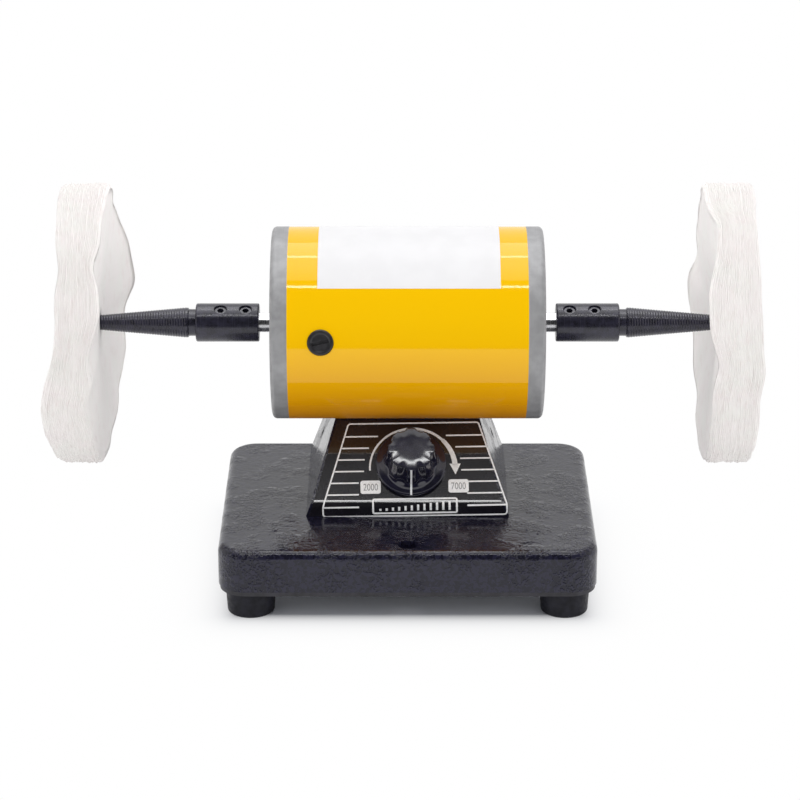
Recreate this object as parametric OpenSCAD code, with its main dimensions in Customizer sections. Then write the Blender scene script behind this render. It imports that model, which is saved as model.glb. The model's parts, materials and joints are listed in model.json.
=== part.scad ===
// Bench polishing lathe: a brushed motor on a cast base, with a tapered
// screw spindle and a cloth buffing wheel at each end of its shaft.
// Millimetres. X runs along the shaft, Y from front to back, Z up from the bench.

/* [Base] */
// Width of the base casting
base_w = 154; // [140:1:200]
// Depth of the base casting, front to back
base_d = 122; // [114:1:160]
// Height of the casting's skirt, from the bottom plate to the top
base_h = 17.4; // [15:0.1:26]
// Radius of the base's corners, seen from above
base_corner_r = 11.6; // [9:0.1:18]
// Rounding along the base's top edge
base_edge_r = 3.5; // [2:0.5:4.5]
// Wall of the casting
cast_wall = 3.6; // [3:0.1:4.5]
// Thickness of the bottom plate
plate_t = 2; // [1.5:0.1:3]
// How far the bottom plate stays inside the casting's outline
plate_inset = 0.6; // [0.3:0.1:1.5]
// Diameter of the hole near the front edge
front_hole_d = 8.2; // [6:0.1:9]
// Distance of that hole from the front edge
front_hole_inset = 8.4; // [8:0.1:14]

/* [Feet] */
// Diameter of a rubber foot
foot_d = 20.5; // [16:0.5:24]
// Height of a rubber foot
foot_h = 11.3; // [8:0.1:16]
// Distance of a foot's centre from the two edges of the base beside it
foot_inset = 13; // [12.5:0.5:20]
// Diameter of a foot screw
foot_screw_d = 4; // [3:0.5:5]

/* [Pedestal] */
// Width of the pedestal where it meets the base
pedestal_w = 84; // [76:1:96]
// Lean of the pedestal's flanks
flank_angle = 20; // [12:1:22]
// Lean of the pedestal's back
rear_angle = 8; // [3:1:12]
// Distance of the pedestal's back from the base's back edge
rear_inset = 8; // [6:1:12]
// Height of the cradle's rear lip above the base
rear_lip_h = 39.5; // [34:0.5:44]
// Distance of the control panel's foot from the base's front edge
panel_setback = 38; // [32:1:42]
// Height of the upright lip under the control panel
panel_lip_h = 4.9; // [3:0.1:8]
// Slope of the control panel
panel_tilt = 45; // [40:1:50]
// Rounding of the fold at the panel's foot
fold_r = 2.4; // [1:0.2:4]
// Metal between the motor and the inside of the pedestal
saddle_t = 5.2; // [4:0.2:7]

/* [Motor] */
// Height of the motor's axis above the bench
axis_h = 101.8; // [100:0.1:112]
// Distance of the motor's axis behind the middle of the base
motor_setback = 16; // [12:1:20]
// Diameter of the motor housing
motor_d = 80; // [76:1:84]
// Length of the yellow housing tube
housing_l = 98.2; // [92:0.1:112]
// Wall of the housing tube
housing_wall = 3; // [2.5:0.1:4]
// Width of an end cap's visible rim
cap_w = 7; // [6:0.5:10]
// Rounding of an end cap's outer edge
cap_edge_r = 2; // [0.5:0.5:3]
// Spacing of the two screws that hold the motor on its saddle
motor_screw_gap = 36; // [28:1:40]
// Diameter of those screws
motor_screw_d = 5; // [4:0.5:6]

/* [Shaft and bearings] */
// Diameter of the motor shaft
shaft_d = 8; // [7:0.5:9]
// Bare length of shaft between an end cap and its spindle
stub_l = 5.7; // [4:0.1:10]
// Depth of the flats on the shaft's ends
shaft_flat = 0.5; // [0.2:0.1:0.8]
// Outer diameter of a ball bearing
bearing_d = 22; // [21:0.5:24]
// Width of a ball bearing
bearing_w = 7; // [6:0.5:8]
// Diameter of a bearing ball
ball_d = 3.9; // [3.5:0.1:4]

/* [Armature] */
// Diameter of the laminated core
core_d = 52; // [46:1:54]
// Length of the laminated core
core_l = 50; // [40:1:54]
// Number of winding slots
core_slots = 12; // [8:1:16]
// Diameter of the commutator
commutator_d = 22; // [18:1:26]
// Length of the commutator
commutator_l = 13; // [10:1:15]
// Angle that each field magnet spans
magnet_span = 112; // [90:1:120]

/* [Brush gear] */
// Distance of the brushes from the left end of the housing tube
brush_inset = 13.7; // [12:0.1:15]
// Lift of the front brush above the motor's axis, as an angle
brush_lift = 7.5; // [0:0.5:12]
// Diameter of a brush cap
brush_cap_d = 10.7; // [9:0.1:12]
// Width of a carbon brush
brush_w = 5; // [4:0.5:6]

/* [Spindles] */
// Diameter of a spindle's collar
collar_d = 16; // [14:0.5:18]
// Length of a spindle's collar
collar_l = 26.3; // [24:0.1:30]
// Length of the neck between collar and taper
neck_l = 2.9; // [2:0.1:5]
// Diameter of the neck
neck_d = 11.2; // [10:0.1:12]
// Diameter of the taper at its root
taper_root_d = 12.5; // [11:0.1:14]
// Diameter of the taper at its tip
taper_tip_d = 4.6; // [4:0.1:6]
// Length of the taper
taper_l = 45; // [42:0.5:50]
// Diameter of a set screw
set_screw_d = 5; // [4:0.5:6]
// Depth of a set screw's end below the collar's surface
set_screw_sink = 1; // [0.3:0.1:1.4]
// Distance between the two set screws of a collar
set_screw_gap = 10.4; // [8:0.1:12]
// Distance of the outer set screw from the collar's end
set_screw_inset = 10.4; // [9.6:0.1:12]
// Angle of the set screws above the front, with the shaft at rest
set_screw_angle = 64; // [0:1:90]

/* [Wheels] */
// Diameter of a buffing wheel
wheel_d = 117; // [90:1:120]
// Thickness of a wheel at its rim
wheel_rim_w = 21; // [16:0.5:24]
// Thickness of a wheel at its hub, where the cloth is stitched
wheel_hub_w = 10; // [8:0.5:14]
// Diameter of the stitched hub
wheel_hub_d = 30; // [24:1:40]
// How far the spindle's tip stops short of the wheel's outer hub face
tip_short = 2; // [0.5:0.5:4]

/* [Speed control] */
// Distance of the knob's axis from the fold, up the panel
knob_up = 18; // [17:0.5:20]
// Distance of the knob's axis to the right of the middle
knob_x = 1.5; // [-3:0.1:3]
// Diameter of the knob's skirt
knob_skirt_d = 29.2; // [26:0.2:31]
// Diameter of the knob's grip, at its top
knob_grip_d = 18.8; // [17:0.2:21]
// Height of the knob
knob_h = 16.5; // [15:0.5:20]
// Number of flutes round the grip
knob_flutes = 8; // [6:1:12]
// Depth of a flute
knob_flute_depth = 0.9; // [0.5:0.1:1.4]
// Diameter of the potentiometer's shaft
pot_shaft_d = 6; // [5:0.5:6]
// Diameter of the potentiometer's case
pot_case_d = 17; // [15:0.5:19]
// Thickness of the panel's face plate
face_t = 0.5; // [0.3:0.1:1]
// Free edge of the panel round its face plate
face_margin = 0.9; // [0.5:0.1:3]
// Width of the speed board
board_w = 54; // [46:1:58]
// Depth of the speed board
board_d = 32; // [28:1:34]
// Distance of the side screws in front of the foot of the pedestal's back
side_screw_inset = 22; // [19:0.5:24]
// Height of the side screws above the base
side_screw_h = 16; // [14:0.5:17]
// Diameter of the cord that the gland takes
cord_d = 7; // [5:0.5:8]

/* [Hidden] */

$fn = 64;
eps = 0.5;            // how far a cutter runs past the face that it cuts
fit = 0.1;            // clearance round a screw or a seated piece
running = 0.05;       // radial clearance of a shaft that turns in its hole
soft_gap = 0.2;       // clearance round a soft piece
turning_gap = 0.9;    // air between the armature and what stands round it

// Levels
z_plate = foot_h;
z_skirt = z_plate + plate_t;
z_top = z_skirt + base_h;
z_lip = z_top + rear_lip_h;

// The middle of the whole lathe's footprint is X = 0, Y = 0
wheel_r = wheel_d / 2;
y_base = (base_d / 2 - max(base_d / 2, motor_setback + wheel_r)) / 2;
y_axis = y_base + motor_setback;
y_front = y_base - base_d / 2;
y_rear = y_base + base_d / 2;

// Motor, measured along the axis from the middle
motor_r = motor_d / 2;
bore_r = motor_r - housing_wall;
x_cap_in = housing_l / 2;
x_cap_out = x_cap_in + cap_w;
cap_face_t = 3;       // metal between a bearing and the cap's outer face
x_bearing = x_cap_out - cap_face_t - bearing_w;
cap_spigot = 4;       // depth of the cap's spigot in the tube
cap_boss_wall = 4;    // metal round a bearing
bearing_r = bearing_d / 2;

// Spindles
x_collar = x_cap_out + stub_l;
x_neck = x_collar + collar_l;
x_taper = x_neck + neck_l;
x_tip = x_taper + taper_l;
collar_seat = 17;     // length of shaft inside a collar
x_hub_out = x_tip + tip_short;
x_wheel = x_hub_out - wheel_hub_w / 2;
x_shaft = x_collar + collar_seat;

// Panel frame: the fold's sharp corner, before rounding
y_fold = y_front + panel_setback;
z_fold = z_top + panel_lip_h;
saddle_r = motor_r + fit;
lip_r = 2;            // rounding of the cradle's rear lip

// Speed control, measured inwards from the panel's surface
knob_gap = 0.5;       // air under the knob's skirt
nut_t = 2.2;
nut_af = 10;          // across flats
bush_d = pot_shaft_d + 1.6;
bush_over = 1;        // bush past its nut
pot_case_t = 10;
shaft_in = 3.5;       // shaft inside the case
pot_terminal_l = 6;
pot_terminal_w = 2;
pot_terminal_t = 0.8;
pot_terminal_gap = 5;

// Cord gland in the pedestal's back
gland_thread_d = cord_d + 5;
gland_head_t = 6;
gland_nut_t = 3;
gland_thread_l = cast_wall + gland_nut_t + 3;
gland_h = 11;         // gland's axis above the base
z_gland = z_top + gland_h;

// Board, hung under its bracket and clear of the gland's nut
bracket_t = 1.5;
bracket_len = 14;
bracket_drop = 8;     // from the side screws down to the bracket's web
bracket_rise = 6;     // from the side screws up to the ends of its tabs
z_side_screw = z_top + side_screw_h;
z_web = z_side_screw - bracket_drop;
board_t = 1.6;
board_drop = 4;
board_gap = 1;
z_board = z_web - board_drop - board_t;
y_side_screw = y_rear - rear_inset - side_screw_inset;
y_board_back = rear_y(z_board) - (cast_wall + fit + gland_nut_t) / cos(rear_angle) - board_gap;
y_board = y_board_back - board_d / 2;
board_screw_d = 3;
board_screw_gap = 30;
board_head_d = 5.4;
board_head_t = 1.8;
spacer_d = 5;
side_screw_d = 3;
side_head_d = 5.2;
side_head_t = 1.4;
sink_w = 26;
sink_t = 2;
sink_h = 12;
y_sink = y_board - 4; // the sink's back face

// Brush gear, measured out from the axis
commutator_r = commutator_d / 2;
brush_l = 12;
r_brush_in = commutator_r + 0.1;
r_brush_out = r_brush_in + brush_l;
holder_wall = 1.2;
holder_r = brush_cap_d / 2;
r_holder_in = r_brush_in + 3;
brush_cap_proud = 0.7;
r_holder_out = motor_r - 0.5;
r_cap_in = r_holder_out - 3;
brush_wire = 0.5;

// Armature, measured along the axis
x_commutator = brush_inset - x_cap_in;
x_core = (x_commutator + commutator_l / 2 + x_bearing) / 2;
core_r = core_d / 2;
winding_l = 8;        // the end turns on each side of the core
press = 0.02;         // radial clearance of what is pressed on to the shaft
magnet_over = 4;      // how far a magnet runs past each end of the core

// ---------------------------------------------------------------- helpers

// Half the pedestal's width at height z
function flank_x(z) = pedestal_w / 2 - tan(flank_angle) * (z - z_top);

// Place of the pedestal's back at height z
function rear_y(z) = y_rear - rear_inset - tan(rear_angle) * (z - z_top);

// Half the free width inside the pedestal at height z
function inner_x(z) = flank_x(z) - cast_wall / cos(flank_angle);

function unit(v) = v / norm(v);

// Length from corner b to where a round of radius r touches its two sides
function tangent_len(a, b, c, r) =
  let (u = unit(a - b), w = unit(c - b), half = acos(u * w) / 2) r / tan(half);

// Centre of a round of radius r in corner b
function round_centre(a, b, c, r) =
  let (u = unit(a - b), w = unit(c - b), half = acos(u * w) / 2)
    b + unit(u + w) * r / sin(half);

// A convex outline whose corners are rounded by true arcs
module rounded_outline(pts, radii) {
  n = len(pts);
  corners = [for (i = [0:n - 1]) [pts[(i + n - 1) % n], pts[i], pts[(i + 1) % n], radii[i]]];
  polygon([for (k = corners)
    let (t = tangent_len(k[0], k[1], k[2], k[3]))
      each [k[1] + unit(k[0] - k[1]) * t, k[1] + unit(k[2] - k[1]) * t]]);
  for (k = corners)
    if (k[3] > 0.1) translate(round_centre(k[0], k[1], k[2], k[3])) circle(r = k[3]);
}

// Points of corner b, rounded by short chords, so that outlines round one centre nest
function arc_points(a, b, c, r, steps = 10) =
  r <= 0 ? [b] :
  let (m = round_centre(a, b, c, r), t = tangent_len(a, b, c, r),
    p = b + unit(a - b) * t - m, q = b + unit(c - b) * t - m,
    from = atan2(p.y, p.x), turn = atan2(q.y, q.x) - from,
    sweep = turn > 180 ? turn - 360 : turn < -180 ? turn + 360 : turn)
      [for (i = [0:steps]) let (g = from + sweep * i / steps) m + r * [cos(g), sin(g)]];

module rounded_rect(w, d, r) {
  square([w, d - 2 * r], center = true);
  square([w - 2 * r, d], center = true);
  for (sx = [-1, 1], sy = [-1, 1])
    translate([sx * (w / 2 - r), sy * (d / 2 - r)]) circle(r = r);
}

// Side view of one half of a slab: a rectangle with its top outer corner rounded
module slab_edge(half, h, r) {
  square([half, h - r]);
  square([half - r, h]);
  translate([half - r, h - r]) intersection() {
    circle(r = r);
    square(r);
  }
}

// A rounded rectangle with a rounded top edge
module rounded_slab(w, d, h, corner_r, edge_r) {
  rotate([90, 0, 90]) linear_extrude(w - 2 * corner_r, center = true)
    for (s = [0, 1]) mirror([s, 0]) slab_edge(d / 2, h, edge_r);
  rotate([90, 0, 0]) linear_extrude(d - 2 * corner_r, center = true)
    for (s = [0, 1]) mirror([s, 0]) slab_edge(w / 2, h, edge_r);
  for (sx = [-1, 1], sy = [-1, 1])
    translate([sx * (w / 2 - corner_r), sy * (d / 2 - corner_r), 0])
      rotate_extrude() slab_edge(corner_r, h, edge_r);
}

module tube(r_out, r_in, h) {
  difference() {
    cylinder(r = r_out, h = h);
    translate([0, 0, -eps]) cylinder(r = r_in, h = h + 2 * eps);
  }
}

module hexagon(across_flats) circle(d = across_flats / cos(30), $fn = 6);

// Children are drawn along +Z and land on the motor's axis, from x to the right
module on_axis(x = 0) translate([x, y_axis, axis_h]) rotate([0, 90, 0]) children();

// Children drawn for the right end, mirrored for the left one
module at_end(side) mirror([side < 0 ? 1 : 0, 0, 0]) children();

// Children on the panel: +Z leaves its surface and +Y climbs it
module on_panel(up = knob_up)
  translate([knob_x, y_fold, z_fold]) rotate([panel_tilt, 0, 0]) translate([0, up, 0]) children();

// Children on a brush's line: +Z leaves the axis, k = 0 front, 1 rear
module on_brush(k)
  translate([x_commutator, y_axis, axis_h]) rotate([90 - brush_lift - 180 * k, 0, 0]) children();

// Children at a side screw: +Z leaves the flank
module on_flank(side)
  translate([side * flank_x(z_side_screw), y_side_screw, z_side_screw])
    rotate([0, side * (90 - flank_angle), 0]) children();

module at_feet()
  for (sx = [-1, 1], sy = [-1, 1])
    translate([sx * (base_w / 2 - foot_inset), y_base + sy * (base_d / 2 - foot_inset), 0])
      children();

// ------------------------------------------------------------ base casting

// Front view of the pedestal, moved in by a wall, between two heights
module pedestal_front(inset, z_low, z_high) {
  side = inset / cos(flank_angle);
  translate([0, y_rear, 0]) rotate([90, 0, 0]) linear_extrude(base_d)
    polygon([[side - flank_x(z_low), z_low], [flank_x(z_low) - side, z_low],
      [flank_x(z_high) - side, z_high], [side - flank_x(z_high), z_high]]);
}

// Side view of the pedestal, moved in by a wall: lip, sloped panel, rear lip, back
module pedestal_side(inset, z_low, z_high, w) {
  back = inset / cos(rear_angle);
  y_lip = y_fold + inset;
  z_inner_fold = z_fold + inset * (tan(panel_tilt) - 1 / cos(panel_tilt));
  y_panel_top = y_fold + inset / sin(panel_tilt) + (z_high - z_fold) / tan(panel_tilt);
  low_front = [y_lip, z_low];
  high_front = [y_panel_top, z_high];
  high_back = [rear_y(z_high) - back, z_high];
  low_back = [rear_y(z_low) - back, z_low];
  rotate([90, 0, 90]) linear_extrude(w, center = true) polygon(concat([low_front],
    arc_points(low_front, [y_lip, z_inner_fold], high_front, max(0, fold_r - inset)), [high_front],
    arc_points(high_front, high_back, low_back, inset > 0 ? 0 : lip_r), [low_back]));
}

module pedestal(inset, z_low, z_high) {
  intersection() {
    pedestal_front(inset, z_low, z_high);
    pedestal_side(inset, z_low, z_high, pedestal_w + base_h);
  }
}

boss_r = foot_screw_d / 2 + 3;
front_boss_r = front_hole_d / 2 + 2.6;

module on_gland()
  translate([0, rear_y(z_gland), z_gland]) rotate([rear_angle - 90, 0, 0]) children();

module base_casting() {
  z_roof = z_top - cast_wall;
  color([0.07, 0.07, 0.08]) difference() {
    union() {
      difference() {
        union() {
          translate([0, y_base, z_skirt])
            rounded_slab(base_w, base_d, base_h, base_corner_r, base_edge_r);
          pedestal(0, z_top - 1, z_lip);
        }
        translate([0, y_base, z_skirt - eps]) linear_extrude(base_h - cast_wall + eps)
          rounded_rect(base_w - 2 * cast_wall, base_d - 2 * cast_wall, base_corner_r - cast_wall);
        difference() {
          pedestal(cast_wall, z_roof - 1, z_lip);
          on_axis(-base_w / 2) cylinder(r = saddle_r + saddle_t, h = base_w);
        }
      }
      at_feet() translate([0, 0, z_skirt]) cylinder(r = boss_r, h = base_h - 1);
      translate([0, y_front + front_hole_inset, z_skirt])
        cylinder(r = front_boss_r, h = base_h - 1);
    }
    on_axis(-base_w / 2) cylinder(r = saddle_r, h = base_w);
    at_feet() translate([0, 0, z_skirt - eps]) cylinder(d = foot_screw_d, h = foot_screw_depth + eps);
    translate([0, y_front + front_hole_inset, z_skirt - eps])
      cylinder(d = front_hole_d, h = base_h + 2 * eps);
    on_panel() translate([0, 0, -2 * cast_wall]) cylinder(d = bush_d + 2 * fit, h = 3 * cast_wall);
    on_gland() translate([0, 0, -2 * cast_wall])
      cylinder(d = gland_thread_d + 2 * fit, h = 3 * cast_wall);
    for (side = [-1, 1]) on_flank(side) {
      translate([0, 0, -2 * cast_wall]) cylinder(d = side_screw_d + 2 * fit, h = 3 * cast_wall);
      translate([0, 0, -side_head_t - fit])
        cylinder(d1 = side_screw_d + 2 * fit, d2 = side_head_d + 2 * fit, h = side_head_t + fit);
    }
    for (side = [-1, 1])
      translate([side * motor_screw_gap / 2, y_axis, axis_h - motor_r - 2 * saddle_t])
        cylinder(d = motor_screw_d + 2 * fit, h = 3 * saddle_t);
  }
}

module bottom_plate() {
  color([0.16, 0.16, 0.17]) difference() {
    translate([0, y_base, z_plate]) linear_extrude(plate_t)
      rounded_rect(base_w - 2 * plate_inset, base_d - 2 * plate_inset, base_corner_r - plate_inset);
    at_feet() translate([0, 0, z_plate - eps])
      cylinder(d = foot_screw_d + 2 * fit, h = plate_t + 2 * eps);
    translate([0, y_front + front_hole_inset, z_plate - eps])
      cylinder(d = front_hole_d, h = plate_t + 2 * eps);
  }
}

foot_screw_depth = 9;
foot_head_d = 2 * foot_screw_d;
foot_head_t = 2.6;
foot_floor = 4;       // rubber above the head of the foot screw

// A rubber foot: slightly tapered, round-edged, with a well for its screw
module foot(sx, sy) {
  color([0.05, 0.05, 0.05])
    translate([sx * (base_w / 2 - foot_inset), y_base + sy * (base_d / 2 - foot_inset), 0])
      rotate_extrude() difference() {
        rounded_outline([[0, 0], [foot_d / 2 - 0.7, 0], [foot_d / 2, foot_h], [0, foot_h]],
          [0, 1.2, 0, 0]);
        translate([-eps, -eps]) square([foot_head_d / 2 + fit + eps, foot_h - foot_floor + eps]);
        translate([-eps, -eps]) square([foot_screw_d / 2 + fit + eps, foot_h + 2 * eps]);
      }
}

module foot_screws() {
  z_head = foot_h - foot_floor;
  color([0.6, 0.6, 0.62]) at_feet() {
    difference() {
      translate([0, 0, z_head - foot_head_t]) cylinder(d = foot_head_d, h = foot_head_t);
      translate([0, 0, z_head - foot_head_t - eps]) linear_extrude(1.2 + eps)
        for (turn = [0, 90]) rotate(turn) square([foot_head_d * 0.6, 0.9], center = true);
    }
    translate([0, 0, z_head])
      cylinder(d = foot_screw_d - fit, h = foot_floor + plate_t + foot_screw_depth - fit);
  }
}

// ------------------------------------------------------------ speed control

// The printed face plate follows the sloped panel, its fold and the lip under it
module face_plate() {
  color([0.03, 0.03, 0.04]) difference() {
    intersection() {
      pedestal_front(face_margin, z_top + fit, z_lip);
      difference() {
        pedestal_side(-face_t, z_top + fit, z_lip, pedestal_w);
        pedestal_side(0, z_top - 1, z_lip, pedestal_w + base_h);
      }
      translate([-pedestal_w / 2, y_front, z_top]) cube([pedestal_w, y_axis - y_front, base_d]);
    }
    on_axis(-base_w / 2) cylinder(r = motor_r + face_margin, h = base_w);
    on_panel() translate([0, 0, -eps]) cylinder(d = bush_d + 2 * fit, h = 4 * face_t);
  }
}

// Case, threaded bush and terminals of the potentiometer, behind the panel
module potentiometer() {
  bush_out = face_t + nut_t + bush_over;
  z_front = -cast_wall - fit;
  color([0.55, 0.56, 0.58]) on_panel() difference() {
    union() {
      translate([0, 0, z_front]) cylinder(d = bush_d, h = bush_out - z_front);
      translate([0, 0, z_front - pot_case_t]) cylinder(d = pot_case_d, h = pot_case_t);
      for (i = [-1, 0, 1])
        translate([pot_terminal_gap * i - pot_terminal_w / 2, -pot_case_d / 2 - pot_terminal_l,
          z_front - 0.3 * pot_case_t]) cube([pot_terminal_w, 1.5 * pot_terminal_l, pot_terminal_t]);
    }
    translate([0, 0, z_front - shaft_in - fit])
      cylinder(r = pot_shaft_d / 2 + running, h = shaft_in + fit + bush_out - z_front + eps);
  }
}

module potentiometer_nut() {
  color([0.75, 0.75, 0.72]) on_panel() translate([0, 0, face_t]) difference() {
    linear_extrude(nut_t) hexagon(nut_af);
    translate([0, 0, -eps]) cylinder(d = bush_d + fit, h = nut_t + 2 * eps);
  }
}

knob_z = face_t + knob_gap;
skirt_t = 1.6;        // edge of the skirt
flare_h = 4.6;        // height at which the skirt meets the grip
grip_flare = 2.2;     // how much wider the grip's radius is at its foot
flute_r = 3.4;
nut_room = 0.8;       // room round the nut and the end of the bush, inside the knob
knob_top_t = 3;       // plastic over the end of the shaft
pot_shaft_out = knob_z + knob_h - knob_top_t;

// Outline of the knob's half section: sloped skirt, and a grip that narrows to its top
module knob_section() {
  grip_r = knob_grip_d / 2;
  skirt_r = knob_skirt_d / 2;
  rounded_outline([[0, 0], [skirt_r, 0], [skirt_r, skirt_t], [grip_r + grip_flare, flare_h], [0, flare_h]],
    [0, 0.2, 0.5, 0, 0]);
  rounded_outline([[0, 0], [grip_r + grip_flare, 0], [grip_r, knob_h], [0, knob_h]], [0, 0, 1.2, 0]);
}

module speed_knob() {
  flute_lean = atan(grip_flare / knob_h);
  flute_axis = knob_grip_d / 2 - knob_flute_depth + flute_r;
  color([0.04, 0.04, 0.045]) on_panel() translate([0, 0, knob_z]) difference() {
    rotate_extrude() knob_section();
    for (i = [0:knob_flutes - 1]) rotate((i + 0.5) * 360 / knob_flutes)
      translate([flute_axis, 0, knob_h]) rotate([0, -flute_lean, 0])
        translate([0, 0, flare_h - knob_h]) cylinder(r = flute_r, h = knob_h, $fn = 32);
    translate([0, 0, -eps])
      cylinder(r = nut_af / cos(30) / 2 + nut_room, h = nut_t + bush_over + nut_room + eps);
    translate([0, 0, -eps]) cylinder(d = pot_shaft_d + fit, h = pot_shaft_out - knob_z + fit + eps);
  }
}

module potentiometer_shaft() {
  z_inner = -cast_wall - fit - shaft_in;
  color([0.7, 0.7, 0.72]) on_panel() translate([0, 0, z_inner])
    cylinder(d = pot_shaft_d, h = pot_shaft_out - z_inner);
}

// A bent strip between the flanks that carries the board
module board_bracket() {
  tab_top = z_side_screw + bracket_rise;
  reach = fit / cos(flank_angle);
  outer = [for (z = [z_web, tab_top]) inner_x(z) - reach];
  inner = [for (x = outer) x - bracket_t / cos(flank_angle)];
  color([0.72, 0.72, 0.7]) difference() {
    translate([0, y_side_screw + bracket_len / 2, 0]) rotate([90, 0, 0]) linear_extrude(bracket_len)
      polygon([[-outer[0], z_web], [outer[0], z_web], [outer[1], tab_top], [inner[1], tab_top],
        [inner[0], z_web + bracket_t], [-inner[0], z_web + bracket_t], [-inner[1], tab_top],
        [-outer[1], tab_top]]);
    for (side = [-1, 1]) on_flank(side) translate([0, 0, -3 * cast_wall])
      cylinder(d = side_screw_d, h = 3 * cast_wall);
    for (side = [-1, 1]) translate([side * board_screw_gap / 2, y_side_screw, z_web - eps])
      cylinder(d = board_screw_d, h = bracket_t + 2 * eps);
  }
}

module side_screws() {
  shank = cast_wall + bracket_t + 1;
  color([0.12, 0.12, 0.12]) for (side = [-1, 1]) on_flank(side) difference() {
    union() {
      translate([0, 0, -side_head_t - 0.1])
        cylinder(d1 = side_screw_d, d2 = side_head_d, h = side_head_t);
      translate([0, 0, -shank]) cylinder(d = side_screw_d - fit, h = shank - side_head_t);
    }
    translate([0, 0, -0.9]) linear_extrude(1 + eps)
      for (turn = [0, 90]) rotate(turn) square([side_head_d * 0.6, 0.7], center = true);
  }
}

module circuit_board() {
  color([0.1, 0.35, 0.16]) difference() {
    translate([-board_w / 2, y_board - board_d / 2, z_board]) cube([board_w, board_d, board_t]);
    for (side = [-1, 1]) translate([side * board_screw_gap / 2, y_side_screw, z_board - eps])
      cylinder(d = board_screw_d + 2 * fit, h = board_t + 2 * eps);
  }
}

// Screws from under the board, each with its spacer up to the bracket
module board_screws() {
  color([0.8, 0.75, 0.5]) for (side = [-1, 1])
    translate([side * board_screw_gap / 2, y_side_screw, 0]) {
      translate([0, 0, z_board - board_head_t]) cylinder(d = board_head_d, h = board_head_t);
      translate([0, 0, z_board])
        cylinder(d = board_screw_d - fit, h = board_t + board_drop + bracket_t + 1);
      translate([0, 0, z_board + board_t]) cylinder(d = spacer_d, h = board_drop);
    }
}

// Finned aluminium sink that hangs from the board, fins to the front
module heat_sink() {
  fins = 6;
  fin_t = 1;
  fin_l = 9;
  pitch = (sink_w - fin_t) / (fins - 1);
  color([0.75, 0.76, 0.78]) translate([-sink_w / 2, y_sink, z_board - sink_h]) {
    translate([0, -sink_t, 0]) cube([sink_w, sink_t, sink_h]);
    for (i = [0:fins - 1]) translate([i * pitch, -sink_t - fin_l, 0])
      cube([fin_t, fin_l + fin_t, sink_h - 1]);
  }
}

// Power transistor flat against the sink, its three legs in the board
module power_transistor() {
  case_w = 10;
  case_h = 9;
  z_case = z_board - sink_h + 1;
  color([0.1, 0.1, 0.1]) {
    translate([-case_w / 2, y_sink, z_case]) cube([case_w, 4.4, case_h]);
    for (i = [-1, 0, 1]) translate([i * 2.54 - 0.4, y_sink + 1.8, z_case + case_h - 0.2])
      cube([0.8, 0.6, z_board - z_case - case_h + 0.2]);
  }
}

module filter_capacitor() {
  can_r = 5;
  can_h = 13;
  edge = can_r + 2;
  color([0.15, 0.25, 0.5]) translate([board_w / 2 - edge, y_board_back - edge, z_board - can_h])
    rotate_extrude() rounded_outline([[0, 0], [can_r, 0], [can_r, can_h], [0, can_h]], [0, 0.8, 0, 0]);
}

// Gland in the pedestal's back, with a bore for the mains cord
module cord_gland() {
  thread_r = gland_thread_d / 2;
  color([0.06, 0.06, 0.06]) on_gland() difference() {
    union() {
      rotate_extrude() rounded_outline([[0, 0], [thread_r + 3, 0], [thread_r + 1, gland_head_t],
        [0, gland_head_t]], [0, 0.4, 1.5, 0]);
      translate([0, 0, -gland_thread_l]) cylinder(r = thread_r, h = gland_thread_l);
    }
    translate([0, 0, -gland_thread_l - eps])
      cylinder(d = cord_d + 2 * soft_gap, h = gland_thread_l + gland_head_t + 2 * eps);
  }
}

module gland_nut() {
  z_nut = -cast_wall - fit - gland_nut_t;
  color([0.06, 0.06, 0.06]) on_gland() translate([0, 0, z_nut]) difference() {
    linear_extrude(gland_nut_t) hexagon(gland_thread_d + 5);
    translate([0, 0, -eps]) cylinder(d = gland_thread_d + fit, h = gland_nut_t + 2 * eps);
  }
}

// ------------------------------------------------------------------- motor

bolt_d = 4;
bolt_circle_r = bore_r - bolt_d / 2 - 1.6;
bolt_angle = 20;      // below the horizontal, clear of magnets and brushes
bolt_head_d = 7;
bolt_head_t = 2.4;

// Children at both through bolts, drawn along +Z
module at_bolts()
  for (k = [0, 1]) translate([0, y_axis, axis_h]) rotate([bolt_angle + 180 * k, 0, 0])
    translate([0, -bolt_circle_r, 0]) rotate([0, 90, 0]) children();

module motor_housing() {
  color([0.93, 0.62, 0.02]) difference() {
    on_axis(-x_cap_in) tube(motor_r, bore_r, housing_l);
    for (k = [0, 1]) on_brush(k) cylinder(r = holder_r + fit, h = motor_r + eps);
    for (side = [-1, 1]) translate([side * motor_screw_gap / 2, y_axis, axis_h - motor_r - eps])
      cylinder(d = motor_screw_d, h = housing_wall + 2 * eps);
  }
}

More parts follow.
